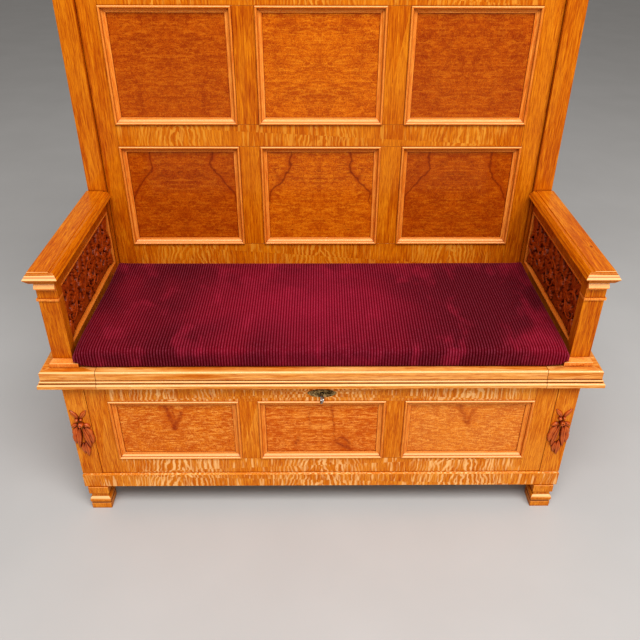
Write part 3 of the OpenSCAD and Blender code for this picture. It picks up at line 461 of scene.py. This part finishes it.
HONEY = rgb(0.44, 0.098, 0.001), rgb(0.58, 0.165, 0.002), rgb(0.70, 0.260, 0.012)
GOLD = rgb(0.52, 0.130, 0.003), rgb(0.66, 0.205, 0.007), rgb(0.80, 0.340, 0.045)
PALE = rgb(0.56, 0.160, 0.010), rgb(0.73, 0.300, 0.050), rgb(0.88, 0.520, 0.200)
ROSY = rgb(0.62, 0.160, 0.010), rgb(0.76, 0.255, 0.030), rgb(0.88, 0.400, 0.100)
CREAM = rgb(0.90, 0.55, 0.24)
# The amounts from 0.40 to 0.80 set the painted highlight on upward front slopes.
MATERIALS = {
    "upright": oak("oak_upright", "Z", *HONEY),
    "upright_front": oak("oak_upright_front", "Z", *GOLD),
    "across": oak("oak_across", "X", *PALE, line_scale=120, pale_and_lit=0.70),
    "front_to_back": oak("oak_front_to_back", "Y", *HONEY, line_scale=190, pale_and_lit=0.75),
    "arm_rest": oak("oak_arm_rest", "Y", *HONEY, line_scale=190, pale_and_lit=0.75, extra=arm_rest_shade_and_knot),
    "foot": oak("oak_foot", "Z", *GOLD, pale_and_lit=0.80),
    "flame_front": flame_oak("oak_flame_front", FRONT_BAY, *GOLD, CREAM),
    "flame_back": flame_oak("oak_flame_back", BACK_BAY, *HONEY, rgb(0.70, 0.31, 0.04)),
    "moulding": oak("oak_moulding", "Z", *ROSY, line_scale=420, pale_and_lit=0.50),
    "inner": oak("oak_inner", "X", rgb(0.42, 0.20, 0.075), rgb(0.55, 0.29, 0.12), rgb(0.66, 0.40, 0.19),
                 settings={"Roughness": 0.7, "Specular IOR Level": 0.25}),
    "figure_front": front_figure(),
    "figure_back": back_figure(),
    "figure_side": side_figure(),
    "carved": carved("carved_wood", rgb(0.19, 0.020, 0.001), rgb(0.34, 0.048, 0.003),
                     rgb(0.46, 0.085, 0.006), 0.16),
    "leaf": carved("carved_leaf", rgb(0.20, 0.020, 0.001), rgb(0.40, 0.055, 0.003),
                   rgb(0.62, 0.150, 0.020), 0.25),
    "brass": metal("aged_brass", rgb(0.60, 0.42, 0.16), rgb(0.24, 0.17, 0.07), 0.36),
    "plate": metal("dark_brass", rgb(0.62, 0.44, 0.20), rgb(0.10, 0.055, 0.018), 0.38, 420),
    "steel": metal("steel", rgb(0.62, 0.60, 0.57), rgb(0.32, 0.30, 0.28), 0.30),
    "velvet": velvet(),
}
# amounts of painted highlight on the mouldings in each place
for place, pale_and_lit in (("front", 0.60), ("back", 0.40), ("side", 0.40)):
    MATERIALS["moulding_" + place] = oak("oak_moulding_" + place, "Z", *ROSY, line_scale=420,
                                         pale_and_lit=pale_and_lit, extra=quirk_shade(place + "_mouldings"))


# ---------------- finishes on the CAD nodes

WOODWORK = {
    "foot": "front_feet rear_feet",
    "upright": "rear_corner_posts side_muntins arm_posts back_posts back_stiles arm_frames",
    "upright_front": "front_pilaster_left front_pilaster_right front_stiles",
    "across": "seat_end_left seat_end_right lid_front_moulding lid_board seat_rear_strip "
              "cornice_mouldings cornice_top",
    "front_to_back": "side_rails plinth_sides",
    "arm_rest": "arm_rests",
    "flame_front": "front_rails plinth_front",
    "flame_back": "back_rails hook_rail",
    "moulding": "arm_capitals arm_base_mouldings arm_beads",
    "moulding_front": "front_mouldings",
    "moulding_back": "back_mouldings",
    "moulding_side": "side_mouldings",
    "inner": "plinth_rear plinth_blocks bottom_bearers chest_bottom rear_rail chest_back "
             "seat_bearers lid_battens post_dowels",
    "figure_front": "front_panels",
    "figure_back": "back_panels",
    "figure_side": "side_panels",
}
METALWORK = {
    "brass": "hinge_fixed_leaves hinge_lid_leaves hinge_pins lock_bolt strike_plate coat_hooks "
             "hook_screws",
    "steel": "hinge_strip_screws hinge_lid_screws lock_case key",
}
SOFT_EDGES = {"arm_rests": 0.0022, "cornice_top": 0.002, "lid_board": 0.0015, "seat_end_left": 0.0014,
              "seat_end_right": 0.0014, "front_mouldings": 0.0007, "back_mouldings": 0.0007,
              "side_mouldings": 0.0007, "arm_beads": 0.0007}
WOOD_EDGE = 0.0007
METAL_EDGE = 0.00025


def soften(node, width):
    """Joins split points, rounds the sharp edges and shades the flats flat."""
    node.modifiers.new("join", "WELD").merge_threshold = 0.00002
    edge = node.modifiers.new("edge", "BEVEL")
    edge.width = width
    edge.segments = 2
    edge.limit_method = "ANGLE"
    edge.angle_limit = math.radians(32)
    edge.use_clamp_overlap = True
    shade = node.modifiers.new("shade", "WEIGHTED_NORMAL")
    shade.weight = 80
    shade.keep_sharp = False


def finish_nodes(groups, edge):
    for material, names in groups.items():
        for name in names.split():
            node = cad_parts[name]
            for place in node.material_slots:
                place.material = MATERIALS[material]
            soften(node, SOFT_EDGES.get(name, edge))


finish_nodes(WOODWORK, WOOD_EDGE)
finish_nodes(METALWORK, METAL_EDGE)


# ---------------- meshes from points

def new_piece(name, points, faces, material, body, replaced):
    mesh = bpy.data.meshes.new(name)
    mesh.from_pydata([tuple(p) for p in points], [], [tuple(f) for f in faces])
    mesh.validate()
    mesh.shade_smooth()
    mesh.materials.append(MATERIALS[material])
    piece = bpy.data.objects.new(name, mesh)
    scene.collection.objects.link(piece)
    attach(piece, body)
    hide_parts(*replaced)
    return piece


class Relief:
    """Carving over a flat ground. Points are (u, v) on the ground and h above it."""

    def __init__(self):
        self.points = []
        self.faces = []

    def closed_grid(self, grid, floor_h):
        """Adds a domed grid of points, with a skirt down to floor_h and a face under it."""
        rows, columns, _ = grid.shape
        start = len(self.points)
        self.points += grid.reshape(-1, 3).tolist()
        number = start + np.arange(rows * columns).reshape(rows, columns)
        for i in range(rows - 1):
            for j in range(columns - 1):
                self.faces.append((number[i, j], number[i + 1, j], number[i + 1, j + 1], number[i, j + 1]))
        rim = list(number[:, 0]) + list(number[-1, 1:]) + list(number[-2::-1, -1]) + list(number[0, -2:0:-1])
        low = len(self.points)
        self.points += [[*self.points[n][:2], floor_h] for n in rim]
        count = len(rim)
        for k in range(count):
            after = (k + 1) % count
            self.faces.append((rim[after], rim[k], low + k, low + after))
        self.faces.append(tuple(low + k for k in range(count)))

    def leaf(self, at, heading, length, width, bend=0.0, lobes=3, height=0.006, rise=0.003, tip=0.35):
        """A lobed leaf with a midrib, along an arc that starts at a point and turns by bend."""
        steps, across = 7 * lobes + 3, 9
        s = np.linspace(0, 1, steps)
        angle = heading + bend * s
        du, dv = np.cos(angle) * length / (steps - 1), np.sin(angle) * length / (steps - 1)
        spine_u = at[0] + np.concatenate(([0], np.cumsum(du[:-1])))
        spine_v = at[1] + np.concatenate(([0], np.cumsum(dv[:-1])))
        outline = np.sin(np.pi * np.clip(s, 0.0, 1.0) ** 0.8) ** 0.7
        scallop = 0.66 + 0.34 * np.abs(np.sin(np.pi * lobes * s)) ** 0.8
        half = 0.5 * width * np.maximum(outline * scallop, 0.05)
        t = np.linspace(-1, 1, across)[None, :]
        sweep = 0.10 * width * np.abs(t) ** 1.5
        a = angle[:, None]
        u = spine_u[:, None] - np.sin(a) * t * half[:, None] + np.cos(a) * sweep
        v = spine_v[:, None] + np.cos(a) * t * half[:, None] + np.sin(a) * sweep
        dome = (1 - t ** 2) ** 0.7
        veins = 0.16 * np.cos(2 * np.pi * (lobes * s[:, None] - 0.9 * np.abs(t)))
        midrib = -0.30 * np.exp(-(t / 0.13) ** 2)
        lift = outline[:, None] * (0.78 * dome + midrib + veins * np.abs(t)) + tip * s[:, None] ** 3
        h = rise + height * lift
        self.closed_grid(np.stack([u, v, h], axis=2), -0.001)

    def stem(self, path, radius_start, radius_end, height):
        """A half-round stalk along a list of (u, v) points."""
        p = np.array(path)
        run = np.gradient(p, axis=0)
        run /= np.linalg.norm(run, axis=1)[:, None]
        side = np.stack([-run[:, 1], run[:, 0]], axis=1)
        radius = np.linspace(radius_start, radius_end, len(p))
        turn = np.linspace(0, math.pi, 7)
        u = p[:, 0, None] + side[:, 0, None] * radius[:, None] * np.cos(turn)[None, :]
        v = p[:, 1, None] + side[:, 1, None] * radius[:, None] * np.cos(turn)[None, :]
        h = height * (0.45 + 0.55 * np.sin(turn))[None, :] * np.ones((len(p), 1))
        self.closed_grid(np.stack([u, v, h], axis=2)[:, ::-1], -0.001)

    def bud(self, at, radius, height, petals=0, twist=0.0):
        """A dome, plain like a berry or cut into petals like a small flower."""
        rings, spokes = 7, 24
        start = len(self.points)
        self.points.append([at[0], at[1], height * (0.72 if petals else 1.0)])
        for i in range(1, rings + 1):
            r = i / rings
            for j in range(spokes):
                a = 2 * math.pi * j / spokes + twist * r
                notch = 1 - 0.22 * r * abs(math.sin(petals * a / 2)) if petals else 1.0
                level = math.sqrt(max(1 - r * r, 0))
                if petals:
                    level = 0.55 + 0.45 * math.sin(math.pi * r) - 0.35 * r ** 4
                    level -= 0.22 * r * abs(math.sin(petals * a / 2)) ** 3
                self.points.append([at[0] + radius * r * notch * math.cos(a),
                                    at[1] + radius * r * notch * math.sin(a), max(height * level, 0.0)])
        first = start + 1
        for j in range(spokes):
            after = (j + 1) % spokes
            self.faces.append((start, first + j, first + after))
            for i in range(rings - 1):
                low, high = first + i * spokes, first + (i + 1) * spokes
                self.faces.append((low + j, high + j, high + after, low + after))
        rim = first + (rings - 1) * spokes
        base = len(self.points)
        self.points += [[*self.points[rim + j][:2], -0.001] for j in range(spokes)]
        for j in range(spokes):
            after = (j + 1) % spokes
            self.faces.append((rim + j, base + j, base + after, rim + after))
        self.faces.append(tuple(base + j for j in reversed(range(spokes))))

    def placed(self, origin, u_way, v_way, out):
        """The points in the CAD frame, and the faces turned to look outwards."""
        basis = np.array([u_way, v_way, out], dtype=float)
        points = np.array(self.points) @ basis + np.array(origin)
        flipped = np.linalg.det(basis) < 0
        faces = [tuple(reversed(f)) if flipped else tuple(f) for f in self.faces]
        return points.tolist(), faces


def joined(parts):
    points, faces = [], []
    for more_points, more_faces in parts:
        base = len(points)
        points += more_points
        faces += [tuple(base + n for n in face) for face in more_faces]
    return points, faces


# ---------------- carved arm panels

def foliage(half_u, half_v, seed):
    """Curling leaves, stalks and small flowers that fill a rectangle of half_u by half_v."""
    dice = random.Random(seed)
    relief = Relief()
    wave = half_u * 2 / 2.5
    swing = half_v * 0.42

    def stalk(u):
        return swing * math.sin(2 * math.pi * (u + half_u) / wave)

    count = 70
    reach = half_u * 0.97
    places = [-reach + 2 * reach * i / count for i in range(count + 1)]
    path = [(u, stalk(u)) for u in places]
    relief.stem(path, 0.0045, 0.003, 0.007)
    for k in range(5):
        centre_u = -half_u + wave * (0.25 + 0.5 * k)
        up = 1 if k % 2 == 0 else -1
        centre = (centre_u, -up * half_v * 0.16)
        turns = [(centre[0] + r * math.cos(a), centre[1] + r * math.sin(a) * 0.92)
                 for a, r in ((up * (math.pi / 2 - 1.5 * math.pi * i / 26),
                               half_v * (0.62 - 0.34 * i / 26)) for i in range(27))]
        relief.stem(turns, 0.0034, 0.0022, 0.0075)
        relief.bud(centre, 0.0125, 0.0098, petals=6, twist=0.5)
        relief.bud(centre, 0.0042, 0.0105)
        for j in range(7):
            a = 2 * math.pi * (j + 0.5 * dice.random()) / 7
            r = half_v * 0.26
            start = (centre[0] + r * math.cos(a), centre[1] + r * math.sin(a))
            relief.leaf(start, a + up * 0.75, half_v * (0.46 + 0.1 * dice.random()), 0.017,
                        bend=-up * 1.1, lobes=3, height=0.0065, rise=0.0022)
    for k in range(17):
        u = -half_u * 0.95 + 1.9 * half_u * k / 16
        v = stalk(u)
        for way in (1, -1):
            room = half_v - way * v
            if room < half_v * 0.55:
                continue
            lean = 0.55 * (1 if k % 2 else -1)
            relief.leaf((u, v + way * 0.006), way * (math.pi / 2) - lean,
                        min(room * 0.80, 0.052), 0.019, bend=way * lean * 2.0, lobes=3,
                        height=0.0058, rise=0.0016)
    for su in (-1, 1):
        for sv in (-1, 1):
            corner = (su * half_u * 0.985, sv * half_v * 0.95)
            inward = math.atan2(-sv, -su)
            for spread in (-0.42, 0.42):
                relief.leaf(corner, inward + spread, half_v * 0.56, 0.020, bend=-spread * 1.2, lobes=4,
                            height=0.0062, rise=0.002)
    for k in range(26):
        at = (half_u * (dice.random() * 1.88 - 0.94), half_v * (dice.random() * 1.8 - 0.9))
        relief.bud(at, 0.0034, 0.0062)
    return relief


def carved_arm_panels():
    low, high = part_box("arm_panels")
    opening_low, opening_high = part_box("arm_beads")
    mid_y = (opening_low.y + opening_high.y) / 2
    mid_z = (opening_low.z + opening_high.z) / 2
    half_y = (opening_high.y - opening_low.y) / 2
    half_z = (opening_high.z - opening_low.z) / 2
    face = opening_high.x
    parts = []
    for side in (-1, 1):
        relief = foliage(half_y - 0.006, half_z - 0.006, seed=11)
        ground_rows, ground_columns = 30, 60
        u = np.linspace(low.y - mid_y, high.y - mid_y, ground_columns)
        v = np.linspace(low.z - mid_z, high.z - mid_z, ground_rows)
        grid_u, grid_v = np.meshgrid(u, v)
        texture = 0.00035 * np.sin(grid_u * 900) * np.sin(grid_v * 870) - 0.0003
        relief.closed_grid(np.stack([grid_u, grid_v, texture], axis=2)[:, ::-1], face - high.x)
        parts.append(relief.placed((side * face, mid_y, mid_z), (0, 1, 0), (0, 0, 1), (-side, 0, 0)))
    points, faces = joined(parts)
    new_piece("carved_arm_panels", points, faces, "carved", "root",
              ("arm_panels", "arm_carvings"))


# ---------------- leaf drops on the chest corners

def leaf_drop(name):
    """Two ears over a bunch of buds, and under them a fan of drooping leaves."""
    low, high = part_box(name)
    centre_u = (low.x + high.x) / 2
    centre_v = low.z + (high.z - low.z) * 0.60
    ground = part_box("front_pilaster_left")[0].y
    relief = Relief()
    down = -math.pi / 2
    for way in (-1, 1):
        relief.leaf((way * 0.001, 0.030), math.pi / 2 - way * 0.52, 0.032, 0.0120, bend=-way * 0.20,
                    lobes=1, height=0.0050, rise=0.0005, tip=0.4)
        relief.leaf((way * 0.006, 0.016), down + way * 1.20, 0.020, 0.0105, bend=-way * 0.5, lobes=1,
                    height=0.0060, rise=0.001)
        relief.leaf((way * 0.009, 0.008), down + way * 0.46, 0.056, 0.0180, bend=-way * 0.52, lobes=2,
                    height=0.0066, rise=0.001)
        relief.leaf((way * 0.0035, 0.006), down + way * 0.22, 0.066, 0.0155, bend=-way * 0.14, lobes=1,
                    height=0.0084, rise=0.0015)
    relief.leaf((-0.004, -0.046), down - 0.12, 0.034, 0.0140, bend=0.25, lobes=1, height=0.0056, rise=0.001)
    relief.leaf((0.003, -0.040), down + 0.06, 0.048, 0.0160, bend=-0.1, lobes=1, height=0.0074, rise=0.001)
    relief.bud((-0.0065, 0.0290), 0.0056, 0.0092)
    relief.bud((0.0035, 0.0300), 0.0044, 0.0076)
    relief.bud((0.0010, 0.0150), 0.0082, 0.0120, petals=3)
    relief.bud((0.0125, 0.0100), 0.0036, 0.0060)
    points, faces = relief.placed((centre_u, ground, centre_v), (1, 0, 0), (0, 0, 1), (0, -1, 0))
    new_piece("carved_" + name, points, faces, "leaf", "root", (name,))


# ---------------- lock plate

def lock_plate():
    """An oval cast plate: a raised rim, scrolls on both sides and the key's hole."""
    low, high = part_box("escutcheon")
    half_u, half_v = (high.x - low.x) / 2, (high.z - low.z) / 2
    relief = Relief()
    rings, spokes = 9, 72
    thick = high.y - low.y
    start = len(relief.points)
    hole_u, hole_v = 0.0038, 0.0046
    for i in range(rings + 1):
        r = i / rings
        for j in range(spokes):
            a = 2 * math.pi * j / spokes
            u = (hole_u + (half_u - hole_u) * r) * math.cos(a)
            v = (hole_v + (half_v - hole_v) * r) * math.sin(a)
            rim = math.exp(-((r - 0.90) / 0.07) ** 2)
            h = thick * (0.38 + 0.42 * rim) if r < 0.99 else thick * 0.25
            relief.points.append([u, v, h])
    for i in range(rings):
        a, b = start + i * spokes, start + (i + 1) * spokes
        for j in range(spokes):
            after = (j + 1) % spokes
            relief.faces.append((a + j, b + j, b + after, a + after))
    edges = []
    for ring in (0, rings):
        base = len(relief.points)
        relief.points += [[*relief.points[start + ring * spokes + j][:2], 0.0] for j in range(spokes)]
        edges.append(base)
    for j in range(spokes):
        after = (j + 1) % spokes
        inner, outer = start + j, start + rings * spokes + j
        inner_after, outer_after = start + after, start + rings * spokes + after
        relief.faces.append((outer, edges[1] + j, edges[1] + after, outer_after))
        relief.faces.append((inner_after, edges[0] + after, edges[0] + j, inner))
        relief.faces.append((edges[0] + j, edges[0] + after, edges[1] + after, edges[1] + j))
    for way in (-1, 1):
        for k in range(3):
            at = way * (0.0095 + 0.0075 * k)
            curl = []
            for n in range(20):
                turn, size = 0.30 * n, 1 - 0.027 * n
                curl.append((at + way * 0.0032 * size * math.cos(turn), 0.0046 * size * math.sin(turn)))
            relief.stem(curl, 0.0009, 0.0006, thick * 0.92)
        relief.bud((way * 0.0285, 0.0), 0.0022, thick * 0.95)
    points, faces = relief.placed(((low.x + high.x) / 2, high.y, (low.z + high.z) / 2), (1, 0, 0),
                                  (0, 0, 1), (0, -1, 0))
    new_piece("lock_plate_casting", points, faces, "plate", "root", ("escutcheon",))


carved_arm_panels()
leaf_drop("leaf_drop_left")
leaf_drop("leaf_drop_right")
lock_plate()


# ---------------- seat cushion

RIB = 0.00675
RIB_DEPTH = 0.0013
SAMPLES_PER_RIB = 5
TOP_ROLL = 0.0135      # radius of the upper edges before the cushion fills out
BOTTOM_ROLL = 0.0035
SWELL = 0.006          # the most that filling out may move a point
REAR_RISE = 0.0065     # rise of the top towards the back, over REAR_REACH
REAR_REACH = 0.110
PINCH_REACH = 0.055    # of the front corners, from each end
BASE_X = 0.560         # where the arm posts' bases begin
BASE_LIFT = 0.0165
HINGE_REACH = 0.006    # of the rear, over the hinges
HINGE_LIFT = 0.007


def eased(low, high, cells, ease):
    """Points from low to high, closer together at both ends."""
    s = np.linspace(0, 1, cells + 1)
    return low + (high - low) * ((1 - ease) * s + ease * (1 - np.cos(np.pi * s)) / 2)


def box_sides(cells):
    """The six faces of a lattice box, as arrays of (i, j, k), each running outwards."""
    sides = []
    for axis in range(3):
        a, b = (axis + 1) % 3, (axis + 2) % 3
        for end in (0, cells[axis]):
            index_a, index_b = np.meshgrid(np.arange(cells[a] + 1), np.arange(cells[b] + 1), indexing="ij")
            side = np.zeros((*index_a.shape, 3), dtype=int)
            side[..., a], side[..., b], side[..., axis] = index_a, index_b, end
            sides.append(side if end else side[::-1])
    return sides


def lattice_mesh(sides, grids, cells):
    """Merges the faces' shared edges. Returns points, faces, and the number of each grid point."""
    stride = np.array([1, cells[0] + 1, (cells[0] + 1) * (cells[1] + 1)])
    keys = [(side * stride).sum(axis=2) for side in sides]
    unique, first = np.unique(np.concatenate([k.ravel() for k in keys]), return_index=True)
    points = np.concatenate([g.reshape(-1, 3) for g in grids])[first]
    numbers = [np.searchsorted(unique, k) for k in keys]
    faces = []
    for n in numbers:
        quads = np.stack([n[:-1, :-1], n[1:, :-1], n[1:, 1:], n[:-1, 1:]], axis=2)
        faces.append(quads.reshape(-1, 4))
    return points, np.concatenate(faces), numbers


def resampled(grid, at, axis):
    """Smooth curve through the grid's points along one axis, read at fractional places."""
    g = np.moveaxis(grid, axis, 0)
    g = np.concatenate([[2 * g[0] - g[1]], g, [2 * g[-1] - g[-2]]])
    i = np.clip(np.floor(at).astype(int), 0, len(g) - 4)
    f = (at - i).reshape(-1, *([1] * (g.ndim - 1)))
    p0, p1, p2, p3 = g[i], g[i + 1], g[i + 2], g[i + 3]
    curve = p1 + 0.5 * f * (p2 - p0 + f * (2 * p0 - 5 * p1 + 4 * p2 - p3 + f * (3 * (p1 - p2) + p3 - p0)))
    return np.moveaxis(curve, 0, axis)


def rolled(points, low, high, top, bottom):
    """Rounds the box's long top and bottom edges, and leaves its corners sharp in plan."""
    middle, half = (low[:2] + high[:2]) / 2, (high[:2] - low[:2]) / 2
    moved = points.copy()
    for radius, way, level in ((top, 1, high[2]), (bottom, -1, low[2])):
        out = points[:, :2] - middle
        beside = np.clip((np.abs(out) - (half - radius)) / radius, 0, 1)
        above = np.clip((way * (points[:, 2] - level) + radius) / radius, 0, 1)
        side = beside.max(axis=1)
        shrink = 1 / np.maximum(np.hypot(side, above), 1.0)
        near = above > 0
        across = np.sign(out) * (half - radius + radius * beside * shrink[:, None])
        use = (beside > 0) & near[:, None]
        moved[:, :2] = np.where(use, middle + across, moved[:, :2])
        height = level + way * radius * (above * shrink - 1)
        moved[:, 2] = np.where(near, height, moved[:, 2])
    return moved


def inflated(points, faces, cap):
    """Runs cloth with pressure on a closed mesh and returns its points, moved by at most cap."""
    mesh = bpy.data.meshes.new("casing")
    mesh.from_pydata(points.tolist(), [], faces.tolist())
    casing = bpy.data.objects.new("casing", mesh)
    scene.collection.objects.link(casing)
    cloth = casing.modifiers.new("cloth", "CLOTH")
    cloth.settings.quality = 6
    cloth.settings.mass = 0.3
    cloth.settings.tension_stiffness = 18
    cloth.settings.compression_stiffness = 18
    cloth.settings.shear_stiffness = 6
    cloth.settings.bending_stiffness = 0.6
    cloth.settings.use_pressure = True
    cloth.settings.uniform_pressure_force = 4
    cloth.settings.effector_weights.gravity = 0
    cloth.collision_settings.use_collision = False
    cloth.point_cache.frame_end = 20
    for step in range(1, 21):
        scene.frame_set(step)
    settled = casing.evaluated_get(bpy.context.evaluated_depsgraph_get()).to_mesh()
    after = np.empty(len(points) * 3)
    settled.vertices.foreach_get("co", after)
    bpy.data.objects.remove(casing)
    bpy.data.meshes.remove(mesh)
    scene.frame_set(1)
    move = after.reshape(-1, 3) - points
    size = np.linalg.norm(move, axis=1, keepdims=True)
    return points + move * np.minimum(1.0, cap / np.maximum(size, 1e-9))


def point_normals(points, faces):
    a, b, c, d = (points[faces[:, n]] for n in range(4))
    flat = np.cross(c - a, d - b)
    normals = np.zeros_like(points)
    for n in range(4):
        np.add.at(normals, faces[:, n], flat)
    return normals / np.maximum(np.linalg.norm(normals, axis=1, keepdims=True), 1e-12)


def sat_in(points, low, high):
    """Pinches the front corners, lifts the rear, and clears the arm bases and the hinges."""
    near_end = np.clip((np.abs(points[:, 0]) - (high[0] - PINCH_REACH)) / PINCH_REACH, 0, 1)
    near_front = np.clip((low[1] + 0.050 - points[:, 1]) / 0.050, 0, 1)
    pinch = 0.50 * (near_end * near_front) ** 1.3
    middle = low[2] + 0.026
    points[:, 2] = middle + (points[:, 2] - middle) * (1 - pinch)
    near_rear = np.clip((points[:, 1] - (high[1] - REAR_REACH)) / REAR_REACH, 0, 1)
    share = np.clip((points[:, 2] - middle) / (high[2] - middle), 0, 1)
    points[:, 2] += REAR_RISE * share * near_rear ** 2 * (3 - 2 * near_rear)
    over_base = np.clip((np.abs(points[:, 0]) - BASE_X) / 0.007, 0, 1)
    lifted = low[2] + BASE_LIFT * over_base * over_base * (3 - 2 * over_base)
    points[:, 2] = np.maximum(points[:, 2], lifted)
    over_hinge = np.clip((points[:, 1] - (high[1] - HINGE_REACH)) / 0.005, 0, 1)
    points[:, 2] = np.maximum(points[:, 2], low[2] + HINGE_LIFT * over_hinge)
    return points


def seat_cushion():
    low, high = (np.array(corner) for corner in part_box("seat_cushion"))
    low = low - (0.0175, 0.0090, 0.0)
    high = high + (0.0175, 0.0045, 0.0020)
    start_low, start_high = low + (0.002, 0.0015, 0.0), high - (0.002, -0.004, 0.0025)
    cells = (96, 40, 6)
    lines = [eased(start_low[n], start_high[n], cells[n], 0.45) for n in range(3)]
    sides = box_sides(cells)
    grids = [np.stack([lines[n][side[..., n]] for n in range(3)], axis=2) for side in sides]
    points, faces, numbers = lattice_mesh(sides, grids, cells)
    points = rolled(points, start_low, start_high, TOP_ROLL, BOTTOM_ROLL)
    points = inflated(points, faces, SWELL)
    points = sat_in(np.clip(points, low, high), low, high)

    start_ends = start_low[0], start_high[0]
    ribs = round((start_high[0] - start_low[0]) / RIB)
    fine = (ribs * SAMPLES_PER_RIB, 48, 9)
    even_x = np.interp(np.linspace(*start_ends, fine[0] + 1), lines[0], np.arange(cells[0] + 1))
    places = [even_x, np.linspace(0, cells[1], fine[1] + 1), np.linspace(0, cells[2], fine[2] + 1)]
    fine_sides = box_sides(fine)
    fine_grids = []
    for number, (side, fine_side) in enumerate(zip(numbers, fine_sides)):
        axis = number // 2
        grid = points[side]
        grid = grid if number % 2 else grid[::-1]
        grid = resampled(grid, places[(axis + 1) % 3], 0)
        grid = resampled(grid, places[(axis + 2) % 3], 1)
        fine_grids.append(grid if number % 2 else grid[::-1])
    points, faces, fine_numbers = lattice_mesh(fine_sides, fine_grids, fine)
    column = np.zeros(len(points))
    for of_side, fine_side in zip(fine_numbers, fine_sides):
        column[of_side] = fine_side[..., 0]
    outward = point_normals(points, faces)
    valley = 1 - np.abs(np.sin(np.pi * column / SAMPLES_PER_RIB)) ** 0.55
    end = np.minimum(column, fine[0] - column)
    fade = np.clip(end / SAMPLES_PER_RIB, 0, 1)
    points -= outward * (RIB_DEPTH * valley * fade)[:, None]
    sway = 0.0022 * np.sin(9.0 * points[:, 1] + 5.0 * points[:, 0]) * np.sin(4.1 * points[:, 0] + 0.6)
    points[:, 0] += sway
    points = np.clip(points, low - (0.001, 0, 0), high + (0.001, 0, REAR_RISE))
    piece = new_piece("corduroy_cushion", points.tolist(), faces.tolist(), "velvet", "lid",
                      ("seat_cushion",))
    piece.data.attributes.new("valley", "FLOAT", "POINT").data.foreach_set("value", valley * fade)
    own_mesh(piece)


seat_cushion()


# ---------------- floor, light and camera

def pale_floor():
    size = 14.0
    mesh = bpy.data.meshes.new("floor")
    mesh.from_pydata([(-size, -size, 0), (size, -size, 0), (size, size, 0), (-size, size, 0)], [],
                     [(0, 1, 2, 3)])
    finish = Finish("floor", {"Roughness": 0.75, "Specular IOR Level": 0.2})
    mottle = finish.noise(finish.at, 3.0, 3)
    finish.paint(finish.mix(mottle, rgb(0.42, 0.41, 0.40), rgb(0.47, 0.46, 0.45)))
    mesh.materials.append(finish.material)
    floor = bpy.data.objects.new("floor", mesh)
    scene.collection.objects.link(floor)


def softbox(name, at, look_at, width, height, power):
    light = bpy.data.lights.new(name, "AREA")
    light.shape = "RECTANGLE"
    light.size, light.size_y = width, height
    light.energy = power
    lamp = bpy.data.objects.new(name, light)
    lamp.location = at
    lamp.rotation_euler = (Vector(look_at) - Vector(at)).to_track_quat("-Z", "Y").to_euler()
    scene.collection.objects.link(lamp)


def photo_camera():
    """Standing in front, a little over seat height, looking down at the seat."""
    data = bpy.data.cameras.new("camera")
    data.lens = 38.56
    data.sensor_width = 36.0
    camera = bpy.data.objects.new("camera", data)
    down, yaw, roll = (math.radians(a) for a in (32.478, 0.592, -0.204))
    turn = Matrix.Rotation(-yaw, 4, "Z") @ Matrix.Rotation(math.pi / 2 - down, 4, "X")
    turn = turn @ Matrix.Rotation(-roll, 4, "Z")
    camera.matrix_world = Matrix.Translation((-0.0186, -1.5344, 1.4057)) @ turn
    scene.collection.objects.link(camera)
    scene.camera = camera


pale_floor()
softbox("overhead", (0.4, -2.4, 4.4), (0.0, 0.0, 0.4), 4.6, 2.0, 240)
softbox("front", (1.2, -4.0, 2.2), (0.0, 0.0, 0.5), 3.4, 2.4, 48)
world = bpy.data.worlds.new("studio")
world.use_nodes = True
world.node_tree.nodes["Background"].inputs["Color"].default_value = (1.0, 0.97, 0.94, 1.0)
world.node_tree.nodes["Background"].inputs["Strength"].default_value = 0.33
scene.world = world
scene.view_settings.view_transform = "Standard"
scene.view_settings.look = "Medium High Contrast"
photo_camera()
